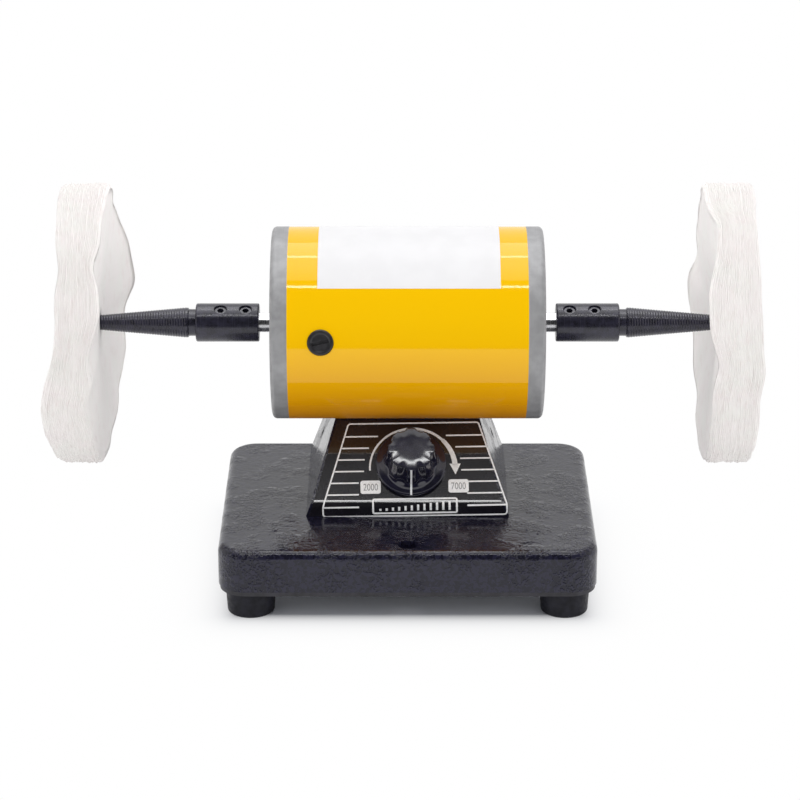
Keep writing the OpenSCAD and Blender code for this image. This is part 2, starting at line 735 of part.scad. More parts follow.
// End cap: a round-edged disc with a spigot, a bearing boss and a shaft hole
module end_cap(side) {
  boss_r = bearing_r + cap_boss_wall;
  color([0.45, 0.46, 0.48]) difference() {
    at_end(side) difference() {
      on_axis() rotate_extrude() difference() {
        union() {
          rounded_outline([[0, x_cap_in], [motor_r, x_cap_in], [motor_r, x_cap_out], [0, x_cap_out]],
            [0, 0, cap_edge_r, 0]);
          translate([0, x_cap_in - cap_spigot]) square([bore_r - fit, cap_spigot + 1]);
          translate([0, x_bearing]) square([boss_r, bearing_w]);
        }
        // hollow between the boss and the spigot
        translate([boss_r, x_cap_in - cap_spigot - eps])
          square([bore_r - 3 - boss_r, cap_spigot + eps]);
        translate([-eps, x_cap_in - cap_spigot - eps])
          square([boss_r + eps, max(0, x_bearing - x_cap_in + cap_spigot) + eps]);
        translate([-eps, x_bearing - eps]) square([bearing_r + fit + eps, bearing_w + eps]);
        translate([-eps, x_bearing]) square([shaft_d / 2 + 0.6 + eps, x_cap_out]);
        // shallow ring turned in the outer face
        translate([boss_r, x_cap_out - 0.8]) square([bore_r - 8 - boss_r, 2]);
      }
    }
    at_bolts() translate([0, 0, -x_cap_out - eps])
      cylinder(d = bolt_d + 2 * fit, h = 2 * x_cap_out + 2 * eps);
    for (s = [-1, 1]) at_bolts() translate([0, 0, s * (x_cap_out - bolt_head_t / 2 + eps / 2)])
      cylinder(d = bolt_head_d + 2 * fit, h = bolt_head_t + eps, center = true);
  }
}

// Two long bolts from cap to cap, heads on the right and nuts on the left
module through_bolts() {
  color([0.55, 0.55, 0.56]) at_bolts() {
    translate([0, 0, -x_cap_out + 0.3]) cylinder(d = bolt_d, h = 2 * x_cap_out - 0.6);
    translate([0, 0, x_cap_out - bolt_head_t]) difference() {
      cylinder(d = bolt_head_d, h = bolt_head_t - 0.1);
      translate([0, 0, bolt_head_t - 1]) linear_extrude(1 + eps)
        square([bolt_head_d + 1, 1], center = true);
    }
    translate([0, 0, -x_cap_out + 0.1]) linear_extrude(bolt_head_t - 0.1) hexagon(bolt_head_d * cos(30));
  }
}

module motor_screws() {
  z_seat = axis_h - saddle_r - saddle_t;
  color([0.6, 0.6, 0.62]) for (side = [-1, 1])
    translate([side * motor_screw_gap / 2, y_axis, z_seat]) {
      translate([0, 0, -3]) difference() {
        cylinder(d = 1.7 * motor_screw_d, h = 3 - fit);
        translate([0, 0, -eps]) linear_extrude(1.8 + eps) hexagon(motor_screw_d * 0.8);
      }
      translate([0, 0, -fit - 0.5])
        cylinder(d = motor_screw_d - fit, h = saddle_t + housing_wall + 0.5);
    }
}

// Arc-shaped field magnet on the housing's inner wall, above or below the armature
module field_magnet(turn) {
  length = core_l + 2 * magnet_over;
  outer = bore_r - fit;
  half = magnet_span / 2;
  color([0.2, 0.2, 0.22]) on_axis(x_core - length / 2) rotate(turn) intersection() {
    tube(outer, core_r + turning_gap, length);
    linear_extrude(length) polygon([[0, 0], motor_d * [cos(half), -sin(half)],
      [2 * motor_d, 0], motor_d * [cos(half), sin(half)]]);
  }
}

race_r = bearing_r / 2 + shaft_d / 4;   // circle that the balls run on
race_t = 1.9;
groove_r = ball_d / 2 + running;

// One ring of a bearing, with the groove that the balls run in
module bearing_ring(side, r_out, r_in) {
  color([0.8, 0.8, 0.82]) at_end(side) on_axis(x_bearing) rotate_extrude() difference() {
    translate([r_in, 0]) square([r_out - r_in, bearing_w]);
    translate([race_r, bearing_w / 2]) circle(r = groove_r);
  }
}

module bearing_race(side) bearing_ring(side, bearing_r, bearing_r - race_t);

module bearing_hub(side) bearing_ring(side, shaft_d / 2 + race_t, shaft_d / 2 + press);

// Balls of both bearings, each set held by its cage
module bearing_balls() {
  balls = 7;
  cage_t = 1.1;
  color([0.85, 0.85, 0.86]) for (side = [-1, 1]) at_end(side) on_axis(x_bearing + bearing_w / 2) {
    for (i = [0:balls - 1]) rotate(i * 360 / balls) translate([race_r, 0, 0]) sphere(d = ball_d);
    translate([0, 0, -cage_t / 2]) tube(race_r + cage_t / 2, race_r - cage_t / 2, cage_t);
  }
}

// Brass tube pressed into the housing, square inside where the brush slides
module brush_holder(k) {
  color([0.78, 0.62, 0.3]) on_brush(k) difference() {
    translate([0, 0, r_holder_in]) cylinder(r = holder_r, h = r_holder_out - r_holder_in);
    translate([0, 0, r_holder_in - eps]) linear_extrude(r_brush_out - r_holder_in + eps)
      square(brush_w + 2 * fit, center = true);
    translate([0, 0, r_brush_out - eps])
      cylinder(r = holder_r - holder_wall, h = r_holder_out - r_brush_out + 2 * eps);
  }
}

// Carbon blocks whose inner ends follow the commutator
module carbon_brushes() {
  color([0.13, 0.13, 0.13]) difference() {
    for (k = [0, 1]) on_brush(k) translate([-brush_w / 2, -brush_w / 2, commutator_r * 0.9])
      cube([brush_w, brush_w, r_brush_out - commutator_r * 0.9]);
    on_axis(-x_cap_in) cylinder(r = r_brush_in, h = housing_l);
  }
}

// Coil springs between the brushes and their caps, drawn as stacked rings
module brush_springs() {
  from = r_brush_out + brush_wire;
  to = r_cap_in - brush_wire;
  turns = 6;
  pitch = (to - from) / turns;
  coil_r = holder_r - holder_wall - brush_wire - 0.4;
  color([0.7, 0.7, 0.7]) for (k = [0, 1]) on_brush(k) {
    for (i = [0:turns]) translate([0, 0, from + i * pitch]) rotate_extrude()
      translate([coil_r, 0]) circle(r = brush_wire, $fn = 16);
    for (turn = [0, 180]) rotate(turn) translate([coil_r, 0, from])
      cylinder(r = brush_wire * 0.6, h = to - from);
  }
}

// Slotted cap that screws into a brush holder, its head a little proud of the housing
module brush_cap(k) {
  head_t = motor_r + brush_cap_proud - r_holder_out;
  color([0.05, 0.05, 0.05]) on_brush(k) difference() {
    union() {
      translate([0, 0, r_cap_in])
        cylinder(r = holder_r - holder_wall - fit / 2, h = r_holder_out - r_cap_in);
      translate([0, 0, r_holder_out]) rotate_extrude()
        rounded_outline([[0, 0], [holder_r, 0], [holder_r, head_t], [0, head_t]], [0, 0, 0.5, 0]);
    }
    translate([0, 0, r_holder_out]) linear_extrude(head_t + eps)
      square([brush_cap_d * 0.72, 1.3], center = true);
  }
}

// ------------------------------------------------------------------- rotor

// Shaft with two flats where the set screws bear
module rotor_shaft() {
  flat_l = collar_seat + stub_l - 1;
  color([0.8, 0.8, 0.82]) difference() {
    on_axis(-x_shaft) rotate_extrude() rounded_outline([[0, 0], [shaft_d / 2, 0],
      [shaft_d / 2, 2 * x_shaft], [0, 2 * x_shaft]], [0, 0.6, 0.6, 0]);
    for (side = [-1, 1]) at_end(side) on_set_screw_line()
      translate([x_shaft - flat_l, -shaft_d, shaft_d / 2 - shaft_flat])
        cube([flat_l + eps, 2 * shaft_d, shaft_d]);
  }
}

// Children turned so that +Z leaves the axis towards the set screws
module on_set_screw_line()
  translate([0, y_axis, axis_h]) rotate([90 - set_screw_angle, 0, 0]) children();

slot_r = 3;
tooth_tip = 2;        // iron between a slot and the core's edge
slot_circle_r = core_r - slot_r - tooth_tip;

// Stack of laminations with round-bottomed winding slots
module armature_core() {
  mouth = 2.4;
  color([0.35, 0.35, 0.37]) on_axis(x_core - core_l / 2) difference() {
    cylinder(r = core_r, h = core_l);
    for (i = [0:core_slots - 1]) rotate(i * 360 / core_slots) {
      translate([slot_circle_r, 0, -eps]) cylinder(r = slot_r, h = core_l + 2 * eps);
      translate([slot_circle_r, -mouth / 2, -eps])
        cube([2 * slot_r + tooth_tip, mouth, core_l + 2 * eps]);
    }
    translate([0, 0, -eps]) cylinder(r = shaft_d / 2 + press, h = core_l + 2 * eps);
  }
}

// Copper wound through the slots, with a bundle of end turns at each side
module armature_winding() {
  wire_r = slot_r - 0.2;
  end_r = core_r - 3;
  inner_r = shaft_d / 2 + 3;
  color([0.72, 0.4, 0.2]) on_axis(x_core) {
    for (s = [0, 1]) mirror([0, 0, s]) translate([0, 0, core_l / 2 + fit])
      rotate_extrude() rounded_outline([[inner_r, 0], [end_r, 0], [end_r, winding_l],
        [inner_r, winding_l]], [0, 0, 3.5, 3.5]);
    for (i = [0:core_slots - 1]) rotate(i * 360 / core_slots)
      translate([slot_circle_r, 0, -core_l / 2 - 1]) cylinder(r = wire_r, h = core_l + 2);
  }
}

// Copper bars on an insulating sleeve
module commutator() {
  bars = 2 * core_slots;
  riser_t = 2;
  riser_h = 1.4;
  mica_t = 0.4;
  color([0.78, 0.48, 0.28]) on_axis(x_commutator - commutator_l / 2) difference() {
    union() {
      cylinder(r = commutator_r, h = commutator_l);
      translate([0, 0, commutator_l - riser_t]) cylinder(r = commutator_r + riser_h, h = riser_t);
    }
    for (i = [0:bars - 1]) rotate(i * 360 / bars)
      translate([commutator_r - 1, -mica_t / 2, -eps])
        cube([1 + 2 * riser_h, mica_t, commutator_l + 2 * eps]);
    translate([0, 0, -eps]) cylinder(r = shaft_d / 2 + press, h = commutator_l + 2 * eps);
  }
}

// Half section of a spindle outside its bore: collar, neck, taper and rounded tip
module spindle_section() {
  rounded_outline([[0, 0], [collar_d / 2, 0], [collar_d / 2, collar_l], [0, collar_l]],
    [0, 0.6, 0.8, 0]);
  translate([0, collar_l - 1]) square([neck_d / 2, neck_l + 2]);
  translate([0, collar_l + neck_l])
    rounded_outline([[0, 0], [taper_root_d / 2, 0], [taper_tip_d / 2, taper_l], [0, taper_l]],
      [0, 0.7, 0.8, 0]);
}

module spindle(side) {
  chamfer = 0.3;
  color([0.1, 0.1, 0.11]) at_end(side) difference() {
    on_axis(x_collar) rotate_extrude() spindle_section();
    on_axis(x_collar - eps) cylinder(r = shaft_d / 2 + press, h = collar_seat + 1.5 + eps);
    at_set_screws() {
      cylinder(d = set_screw_d, h = collar_d);
      translate([0, 0, collar_d / 2 - chamfer])
        cylinder(d1 = set_screw_d, d2 = set_screw_d + 4 * chamfer, h = 2 * chamfer);
    }
  }
}

// Children at the two set screws of the right collar, drawn along +Z
module at_set_screws()
  for (x = [x_neck - set_screw_inset - set_screw_gap, x_neck - set_screw_inset])
    on_set_screw_line() translate([x, 0, 0]) children();

module set_screws() {
  from = shaft_d / 2 - shaft_flat + press;
  to = collar_d / 2 - set_screw_sink;
  color([0.12, 0.12, 0.13]) for (side = [-1, 1]) at_end(side) at_set_screws() difference() {
    translate([0, 0, from]) cylinder(d = set_screw_d - fit, h = to - from);
    translate([0, 0, to - 2]) linear_extrude(2 + eps) hexagon(set_screw_d / 2);
  }
}

// Half section of a wheel: stitched hub, faces that open out, rounded rim
module wheel_section() {
  hub = wheel_hub_w / 2;
  rim = wheel_rim_w / 2;
  rim_round = 3;
  polygon([[0, -hub], [wheel_hub_d / 2, -hub], [wheel_hub_d / 2, hub], [0, hub]]);
  rounded_outline([[wheel_hub_d / 2 - 1, -hub], [wheel_r, -rim], [wheel_r, rim],
    [wheel_hub_d / 2 - 1, hub]], [0, rim_round, rim_round, 0]);
}

module buffing_wheel(side) {
  color([0.93, 0.88, 0.85]) at_end(side) difference() {
    on_axis(x_wheel) rotate_extrude() wheel_section();
    on_axis(x_taper)
      cylinder(r1 = taper_root_d / 2 + soft_gap, r2 = taper_tip_d / 2 + soft_gap, h = taper_l);
    on_axis(x_tip - eps) cylinder(d = taper_tip_d + 2 * soft_gap, h = tip_short + 2 * eps);
  }
}

base_casting();
bottom_plate();
foot(-1, -1);  // foot_front_left
foot(1, -1);  // foot_front_right
foot(-1, 1);  // foot_rear_left
foot(1, 1);  // foot_rear_right
foot_screws();
face_plate();
potentiometer();
potentiometer_nut();
speed_knob();
potentiometer_shaft();
board_bracket();
side_screws();
circuit_board();
board_screws();
heat_sink();
filter_capacitor();
power_transistor();
cord_gland();
gland_nut();
motor_housing();
end_cap(-1);  // left_end_cap
end_cap(1);  // right_end_cap
through_bolts();
motor_screws();
field_magnet(180);  // upper_magnet
field_magnet(0);  // lower_magnet
bearing_race(-1);  // left_bearing_race
bearing_race(1);  // right_bearing_race
bearing_hub(-1);  // left_bearing_hub
bearing_hub(1);  // right_bearing_hub
bearing_balls();
brush_holder(0);  // front_brush_holder
brush_holder(1);  // rear_brush_holder
carbon_brushes();
brush_springs();
brush_cap(0);  // front_brush_cap
brush_cap(1);  // rear_brush_cap
rotor_shaft();
armature_core();
armature_winding();
commutator();
spindle(-1);  // left_spindle
spindle(1);  // right_spindle
set_screws();
buffing_wheel(-1);  // left_wheel
buffing_wheel(1);  // right_wheel
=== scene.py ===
"""Finishes and soft pieces of a small two-spindle bench polishing lathe, fitted round its frame.

X runs along the motor shaft, Y from the control panel to the back, Z up from the bench.
Shapes are worked out in millimetres and become metres when their mesh is made.
"""

import json
import math

import bpy
import numpy as np
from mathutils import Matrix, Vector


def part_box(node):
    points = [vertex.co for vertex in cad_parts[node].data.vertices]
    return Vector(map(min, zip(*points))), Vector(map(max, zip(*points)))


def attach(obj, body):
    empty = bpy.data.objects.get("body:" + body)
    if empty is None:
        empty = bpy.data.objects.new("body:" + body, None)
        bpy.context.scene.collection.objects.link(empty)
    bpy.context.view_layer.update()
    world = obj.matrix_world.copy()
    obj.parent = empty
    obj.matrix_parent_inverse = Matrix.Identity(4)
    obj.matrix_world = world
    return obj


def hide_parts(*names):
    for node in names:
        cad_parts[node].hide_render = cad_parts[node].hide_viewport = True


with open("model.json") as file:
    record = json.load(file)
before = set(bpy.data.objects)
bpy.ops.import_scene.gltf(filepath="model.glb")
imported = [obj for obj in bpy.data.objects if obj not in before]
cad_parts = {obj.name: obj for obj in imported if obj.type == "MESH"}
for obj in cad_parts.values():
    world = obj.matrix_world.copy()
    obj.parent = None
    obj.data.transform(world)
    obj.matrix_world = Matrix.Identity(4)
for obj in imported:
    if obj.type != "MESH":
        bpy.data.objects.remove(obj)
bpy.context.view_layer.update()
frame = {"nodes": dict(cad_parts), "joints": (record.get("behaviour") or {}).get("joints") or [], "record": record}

MM = 0.001
TURN = 2 * math.pi


def in_mm(node):
    """Lowest and highest corner of a node of the frame, in millimetres."""
    low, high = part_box(node)
    return np.array(low) / MM, np.array(high) / MM


joints = {joint["name"]: joint for joint in frame["joints"]}
AXIS_Y, AXIS_Z = np.array(joints["rotor_spin"]["pos_m"][1:]) / MM
KNOB_FOOT = np.array(joints["knob_turn"]["pos_m"]) / MM
KNOB_OUT = -np.array(joints["knob_turn"]["axis"])
ACROSS = np.array([1.0, 0.0, 0.0])
UPHILL = np.cross(KNOB_OUT, ACROSS)

HOUSING_LOW, HOUSING_HIGH = in_mm("motor_housing")
MOTOR_R = (HOUSING_HIGH[2] - HOUSING_LOW[2]) / 2
BASE_LOW, BASE_HIGH = in_mm("base_casting")

# The control panel: a slope that folds into an upright lip
PANEL_SLOPE = math.radians(45)
FILM_T = 0.5
FOLD_R = 2.4
FOLD_HALF = (math.pi / 2 - PANEL_SLOPE) / 2
FOLD_Y = in_mm("face_plate")[0][1] + FILM_T
FOLD_Z = KNOB_FOOT[2] - (KNOB_FOOT[1] - FOLD_Y)
FOLD_REACH = FOLD_R * math.tan(FOLD_HALF)

# Radius of the last ring round a pole, which one small flat face closes
POLE_R = 0.05


# ---------------------------------------------------------------- meshes


def make_piece(name, points, faces, finish, body, smooth=True):
    """A mesh from points in millimetres and lists of point numbers, riding on a body."""
    mesh = bpy.data.meshes.new(name)
    mesh.from_pydata((np.asarray(points) * MM).tolist(), [], faces)
    mesh.validate()
    mesh.polygons.foreach_set("use_smooth", np.full(len(mesh.polygons), smooth))
    mesh.materials.append(finish)
    piece = bpy.data.objects.new(name, mesh)
    bpy.context.scene.collection.objects.link(piece)
    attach(piece, body)
    return piece


def band(rows, columns, row_loop=False):
    """Quads between rows of points whose columns close into rings.

    Rings run right-handed round the way that the rows follow each other, so the quads face out.
    """
    r = np.arange(rows if row_loop else rows - 1)[:, None]
    c = np.arange(columns)[None, :]
    r_next, c_next = (r + 1) % rows, (c + 1) % columns
    quads = np.stack([r * columns + c, r * columns + c_next,
                      r_next * columns + c_next, r_next * columns + c], axis=-1)
    return quads.reshape(-1, 4).tolist()


def sleeve(sections):
    """Points and faces of a closed body: sections (rows, ring, 3), with a flat face on each end."""
    rows, ring = sections.shape[:2]
    ends = [list(range(ring))[::-1], list(range((rows - 1) * ring, rows * ring))]
    return sections.reshape(-1, 3), band(rows, ring) + ends


def joined(bodies):
    """One list of points and faces from several (points, faces) pairs."""
    points, faces, first = [], [], 0
    for part_points, part_faces in bodies:
        points.append(part_points)
        faces += [[first + i for i in face] for face in part_faces]
        first += len(part_points)
    return np.concatenate(points), faces


def smoothstep(low, high, value):
    """0 at low and beyond, 1 at high and beyond, a smooth S between. Low may be the greater of the two."""
    t = np.clip((value - low) / (high - low), 0, 1)
    return t * t * (3 - 2 * t)


def ripple(angle, counts, size, rng):
    """Sum of sine waves round a circle: each count has a random phase and a share of the size."""
    total = np.zeros_like(angle)
    for count in counts:
        total += rng.uniform(0.5, 1) * np.sin(count * angle + rng.uniform(0, TURN))
    return size * total / math.sqrt(len(counts))


# ---------------------------------------------------------------- finishes


class Nodes:
    """Shorthand for laying nodes in one node tree."""

    def __init__(self, tree):
        self.tree = tree

    def add(self, kind, inputs=(), **settings):
        """Adds a node. Inputs go by number or name, and take a value or another node's output."""
        made = self.tree.nodes.new(kind)
        for name, value in settings.items():
            setattr(made, name, value)
        for key, value in dict(inputs).items():
            if isinstance(value, bpy.types.NodeSocket):
                self.tree.links.new(value, made.inputs[key])
            else:
                made.inputs[key].default_value = value
        return made

    def math(self, operation, a, b=0.0):
        """The result of one sum on two values."""
        return self.add("ShaderNodeMath", {0: a, 1: b}, operation=operation).outputs[0]

    def between(self, value, low, high, start=0.0, end=1.0):
        """Value from start to end, stretched smoothly to low to high."""
        return self.add("ShaderNodeMapRange", {0: value, 1: start, 2: end, 3: low, 4: high},
                        interpolation_type="SMOOTHSTEP").outputs[0]

    def seen(self, shader, other):
        """One shader for camera, glossy and transmitted rays, and another for the rest."""
        path = self.add("ShaderNodeLightPath").outputs
        ray = self.math("MAXIMUM", path["Is Camera Ray"], path["Is Glossy Ray"])
        ray = self.math("MAXIMUM", ray, path["Is Transmission Ray"])
        return self.add("ShaderNodeMixShader", {0: ray, 1: other, 2: shader}).outputs[0]


class Finish(Nodes):
    """A material: a Principled shader, fed by patterns that lie in the piece's own coordinates."""

    def __init__(self, name, colour, roughness, **sockets):
        self.material = bpy.data.materials.new(name)
        self.material.use_nodes = True
        super().__init__(self.material.node_tree)
        self.shader = self.tree.nodes["Principled BSDF"]
        self.colour = colour
        self.set(base_color=(*colour, 1), roughness=roughness, **sockets)
        self.place = self.add("ShaderNodeTexCoord").outputs["Object"]
        self.normal = None

    def set(self, **sockets):
        """Sets numbers and colours straight on the shader's own sockets."""
        titles = {s.name.lower().replace(" ", "_"): s for s in self.shader.inputs}
        for name, value in sockets.items():
            titles[name].default_value = value

    def at(self, size, stretch=(1, 1, 1), turn=(0, 0, 0), place=None):
        """Coordinates in which a pattern of scale 1 has this size, in millimetres."""
        scale = tuple(1 / (size * s * MM) for s in stretch)
        return self.add("ShaderNodeMapping", {"Vector": place or self.place, "Scale": scale,
                                              "Rotation": turn}).outputs[0]

    def noise(self, size, detail=2.0, stretch=(1, 1, 1), twist=0.0, place=None):
        """Cloudy noise with lumps of this size."""
        return self.add("ShaderNodeTexNoise", {"Vector": self.at(size, stretch, place=place), "Scale": 1.0,
                                               "Detail": detail, "Distortion": twist}).outputs["Fac"]

    def cells(self, size):
        """Distance to the middle of cells of this size."""
        return self.add("ShaderNodeTexVoronoi", {"Vector": self.at(size), "Scale": 1.0},
                        feature="SMOOTH_F1").outputs["Distance"]

    def stripes(self, pitch, turn=(0, 0, 0), wobble=0.0):
        """Sine stripes of this pitch that follow each other along X, or along a turned X."""
        return self.add("ShaderNodeTexWave", {"Vector": self.at(pitch, turn=turn), "Scale": TURN / 20,
                                              "Distortion": wobble}).outputs["Fac"]

    def blend(self, factor, first, second):
        """Mixes two colours, or colour outputs, by a factor."""
        mix = self.add("ShaderNodeMix", {0: factor}, data_type="RGBA")
        for socket, value in ((mix.inputs[6], first), (mix.inputs[7], second)):
            if isinstance(value, bpy.types.NodeSocket):
                self.tree.links.new(value, socket)
            else:
                socket.default_value = (*value, 1)
        return mix.outputs[2]

    def paint(self, colour):
        """Feeds the colour from a pattern."""
        self.tree.links.new(colour, self.shader.inputs["Base Color"])

    def shade(self, value, dark, light, start=0.3, end=0.7):
        """Varies the colour by a pattern, between two multiples of it."""
        tones = [tuple(min(1.0, c * k) for c in self.colour) for k in (dark, light)]
        self.paint(self.blend(self.between(value, 0, 1, start, end), *tones))

    def polish(self, value, smooth, rough, start=0.3, end=0.7, socket="Roughness"):
        """Varies a roughness by a pattern."""
        self.tree.links.new(self.between(value, smooth, rough, start, end), self.shader.inputs[socket])

    def relief(self, height, depth):
        """Adds bumps of this depth, in millimetres, over those already there."""
        inputs = {"Height": height, "Distance": depth * MM, "Strength": 1.0}
        if self.normal:
            inputs["Normal"] = self.normal
        self.normal = self.add("ShaderNodeBump", inputs).outputs[0]
        for socket in ("Normal", "Coat Normal"):
            self.tree.links.new(self.normal, self.shader.inputs[socket])

    def height(self, low, high):
        """0 below a height over the bench, 1 above another, in millimetres, and a smooth S between."""
        z = self.add("ShaderNodeSeparateXYZ", {0: self.place}).outputs["Z"]
        return self.between(z, 0, 1, low * MM, high * MM)

    def from_axis(self):
        """Coordinates (distance from the motor's axis, place along it, 0), for marks left by turning."""
        split = self.add("ShaderNodeSeparateXYZ", {0: self.place})
        y = self.math("SUBTRACT", split.outputs["Y"], AXIS_Y * MM)
        z = self.math("SUBTRACT", split.outputs["Z"], AXIS_Z * MM)
        square = self.math("ADD", self.math("MULTIPLY", y, y), self.math("MULTIPLY", z, z))
        return self.add("ShaderNodeCombineXYZ", {0: self.math("SQRT", square),
                                                 1: split.outputs["X"]}).outputs[0]


def black_casting():
    """Thick glossy blue-black paint: nearly smooth in places, dried in worm-like wrinkles in others."""
    f = Finish("black_casting", (0.012, 0.0115, 0.025), 0.2, specular_ior_level=0.43)
    where = f.between(f.noise(15, detail=2), 0.12, 1, 0.46, 0.6)
    worms = f.between(f.noise(1.7, detail=1.5, twist=0.8), 0, 1, 0.43, 0.57)
    pits = f.between(f.cells(1.2), 0, 1, 0.0, 0.3)
    f.relief(f.noise(4, detail=1), 0.03)
    f.relief(f.math("MULTIPLY", pits, where), 0.06)
    f.relief(f.math("MULTIPLY", worms, where), 0.2)
    # Painted shade and highlight: the colour follows the worm pattern, darker where the wrinkles sink and lighter
    # on their crests, and keeps that pattern where the paint is smooth too.
    f.shade(worms, 0.7, 1.35, 0.0, 1.0)
    f.polish(where, 0.12, 0.22, 0.2, 1.0)
    return f.material


def dark_plate():
    """Satin black paint on sheet steel."""
    f = Finish("dark_plate", (0.018, 0.017, 0.024), 0.42)
    f.shade(f.noise(5, detail=4), 0.7, 1.4)
    f.polish(f.noise(2, detail=3), 0.36, 0.5)
    f.relief(f.noise(0.8), 0.01)
    return f.material


def foot_rubber():
    """Black moulded rubber with a dusty bloom."""
    f = Finish("foot_rubber", (0.008, 0.008, 0.013), 0.5, specular_ior_level=0.22)
    f.shade(f.noise(4, detail=5), 0.75, 1.5)
    f.polish(f.noise(1.5, detail=3), 0.38, 0.6)
    f.relief(f.noise(0.5, detail=3), 0.02)
    return f.material


def screw_steel():
    """Zinc plate: bright, with a faint blue and yellow cast."""
    f = Finish("screw_steel", (0.62, 0.62, 0.62), 0.3, metallic=1.0)
    cast = f.between(f.noise(3, detail=2), 0, 1, 0.35, 0.65)
    f.paint(f.blend(cast, (0.58, 0.6, 0.64), (0.66, 0.63, 0.56)))
    f.polish(f.noise(1, detail=3), 0.22, 0.4)
    f.relief(f.noise(0.3), 0.004)
    return f.material


def panel_film():
    """Black film under a clear gloss: faint waves of a sheet stuck down by hand, and a sag over the fold."""
    sag_foot, sag_top = FOLD_Z + 0.35, FOLD_Z + 1.9
    f = Finish("panel_film", (0.009, 0.008, 0.012), 0.4, specular_ior_level=0.1,
               coat_weight=1.0, coat_roughness=0.06, coat_ior=1.6)
    f.relief(f.noise(14, detail=1), 0.03)
    f.relief(f.height(sag_foot, sag_top), 0.05)
    f.shade(f.noise(7, detail=3), 0.8, 1.3)
    return f.material


def white_ink(name="white_ink"):
    """Screen-printed white, a little thin in places."""
    f = Finish(name, (0.93, 0.93, 0.94), 0.4)
    f.shade(f.noise(1.2, detail=3), 0.9, 1.04)
    f.relief(f.noise(0.3), 0.003)
    return f.material


def grey_ink():
    """Printed grey of the figures."""
    f = Finish("grey_ink", (0.27, 0.27, 0.28), 0.45)
    f.shade(f.noise(0.8, detail=3), 0.8, 1.3)
    return f.material


def knob_plastic():
    """Black moulded phenolic, polished by fingers."""
    f = Finish("knob_plastic", (0.01, 0.0095, 0.021), 0.1, specular_ior_level=0.85)
    f.shade(f.noise(3, detail=4), 0.8, 1.4)
    f.polish(f.noise(5, detail=4), 0.08, 0.12)
    f.relief(f.noise(0.5, detail=2), 0.0012)
    return f.material


def black_screw():
    """Oil-blackened screw heads."""
    f = Finish("black_screw", (0.03, 0.03, 0.032), 0.35, metallic=0.6)
    f.polish(f.noise(1, detail=3), 0.28, 0.45)
    f.relief(f.noise(0.4), 0.006)
    return f.material


def board_green():
    """Solder mask over copper tracks."""
    f = Finish("board_green", (0.04, 0.2, 0.07), 0.35)
    tracks = f.between(f.stripes(2.5, wobble=3.0), 0, 1, 0.55, 0.6)
    f.paint(f.blend(tracks, (0.03, 0.17, 0.06), (0.06, 0.28, 0.1)))
    f.relief(tracks, 0.03)
    return f.material


def bare_aluminium():
    """Extruded aluminium with lines along the draw."""
    f = Finish("bare_aluminium", (0.76, 0.77, 0.79), 0.35, metallic=1.0)
    lines = f.noise(0.4, detail=2, stretch=(1, 1, 30))
    f.polish(lines, 0.28, 0.45)
    f.relief(lines, 0.006)
    return f.material


def capacitor_sleeve():
    """Blue shrink sleeve, tight and glossy."""
    f = Finish("capacitor_sleeve", (0.03, 0.06, 0.25), 0.25)
    f.shade(f.noise(3, detail=2), 0.85, 1.2)
    f.relief(f.noise(2, detail=1), 0.02)
    return f.material


def moulded_black():
    """Moulded black plastic with a spark-eroded grain."""
    f = Finish("moulded_black", (0.022, 0.021, 0.024), 0.3)
    f.shade(f.noise(2, detail=3), 0.8, 1.4)
    f.relief(f.noise(0.35, detail=2), 0.012)
    return f.material


def yellow_enamel():
    """Baked yellow enamel: a hard gloss that turns satin underneath, where the colour is also darkened as painted
    shade.
    """
    satin_below, gloss_above = AXIS_Z - 29, AXIS_Z - 20
    painted_shade_below, unshaded_above = AXIS_Z - 60, AXIS_Z + 18
    f = Finish("yellow_enamel", (0.94, 0.54, 0.001), 0.3, specular_ior_level=0.0, coat_weight=0.85)
    f.polish(f.height(satin_below, gloss_above), 0.4, 0.05, 0.0, 1.0, "Coat Roughness")
    # Painted shade: the colour runs from full yellow above to a deep orange-brown low on the motor.
    f.paint(f.blend(f.height(painted_shade_below, unshaded_above), (0.7, 0.2, 0.001), (0.965, 0.555, 0.001)))
    f.relief(f.noise(2.6, detail=1), 0.003)
    return f.material


def cap_grey():
    """Aluminium end caps, turned and dulled to a satin grey."""
    f = Finish("cap_grey", (0.35, 0.35, 0.36), 0.5, metallic=0.28)
    marks = f.noise(0.5, detail=2, stretch=(1, 1, 100), place=f.from_axis())
    f.relief(marks, 0.012)
    f.relief(f.noise(0.6, detail=3), 0.006)
    f.shade(f.noise(4, detail=4), 0.9, 1.1)
    f.polish(marks, 0.46, 0.6)
    return f.material


def ferrite():
    """Sintered magnet: dark, dull and slightly pitted."""
    f = Finish("ferrite", (0.045, 0.045, 0.05), 0.6)
    f.shade(f.noise(1.5, detail=4), 0.7, 1.5)
    f.relief(f.noise(0.5, detail=3), 0.02)
    return f.material


def bearing_steel():
    """Ground and polished bearing rings."""
    f = Finish("bearing_steel", (0.74, 0.74, 0.76), 0.14, metallic=1.0)
    marks = f.noise(0.2, detail=1, stretch=(1, 1, 100), place=f.from_axis())
    f.polish(marks, 0.1, 0.2)
    f.relief(marks, 0.002)
    return f.material


def holder_brass():
    """Drawn brass tube, a little tarnished."""
    f = Finish("holder_brass", (0.76, 0.56, 0.24), 0.28, metallic=1.0)
    f.shade(f.noise(3, detail=4), 0.75, 1.05)
    f.polish(f.noise(1, detail=3), 0.2, 0.4)
    return f.material


def carbon():
    """Pressed carbon, with a grey streak where it rubs."""
    f = Finish("carbon", (0.035, 0.035, 0.036), 0.5)
    f.shade(f.noise(0.8, detail=3, stretch=(4, 1, 1)), 0.7, 1.7)
    f.relief(f.noise(0.3), 0.008)
    return f.material


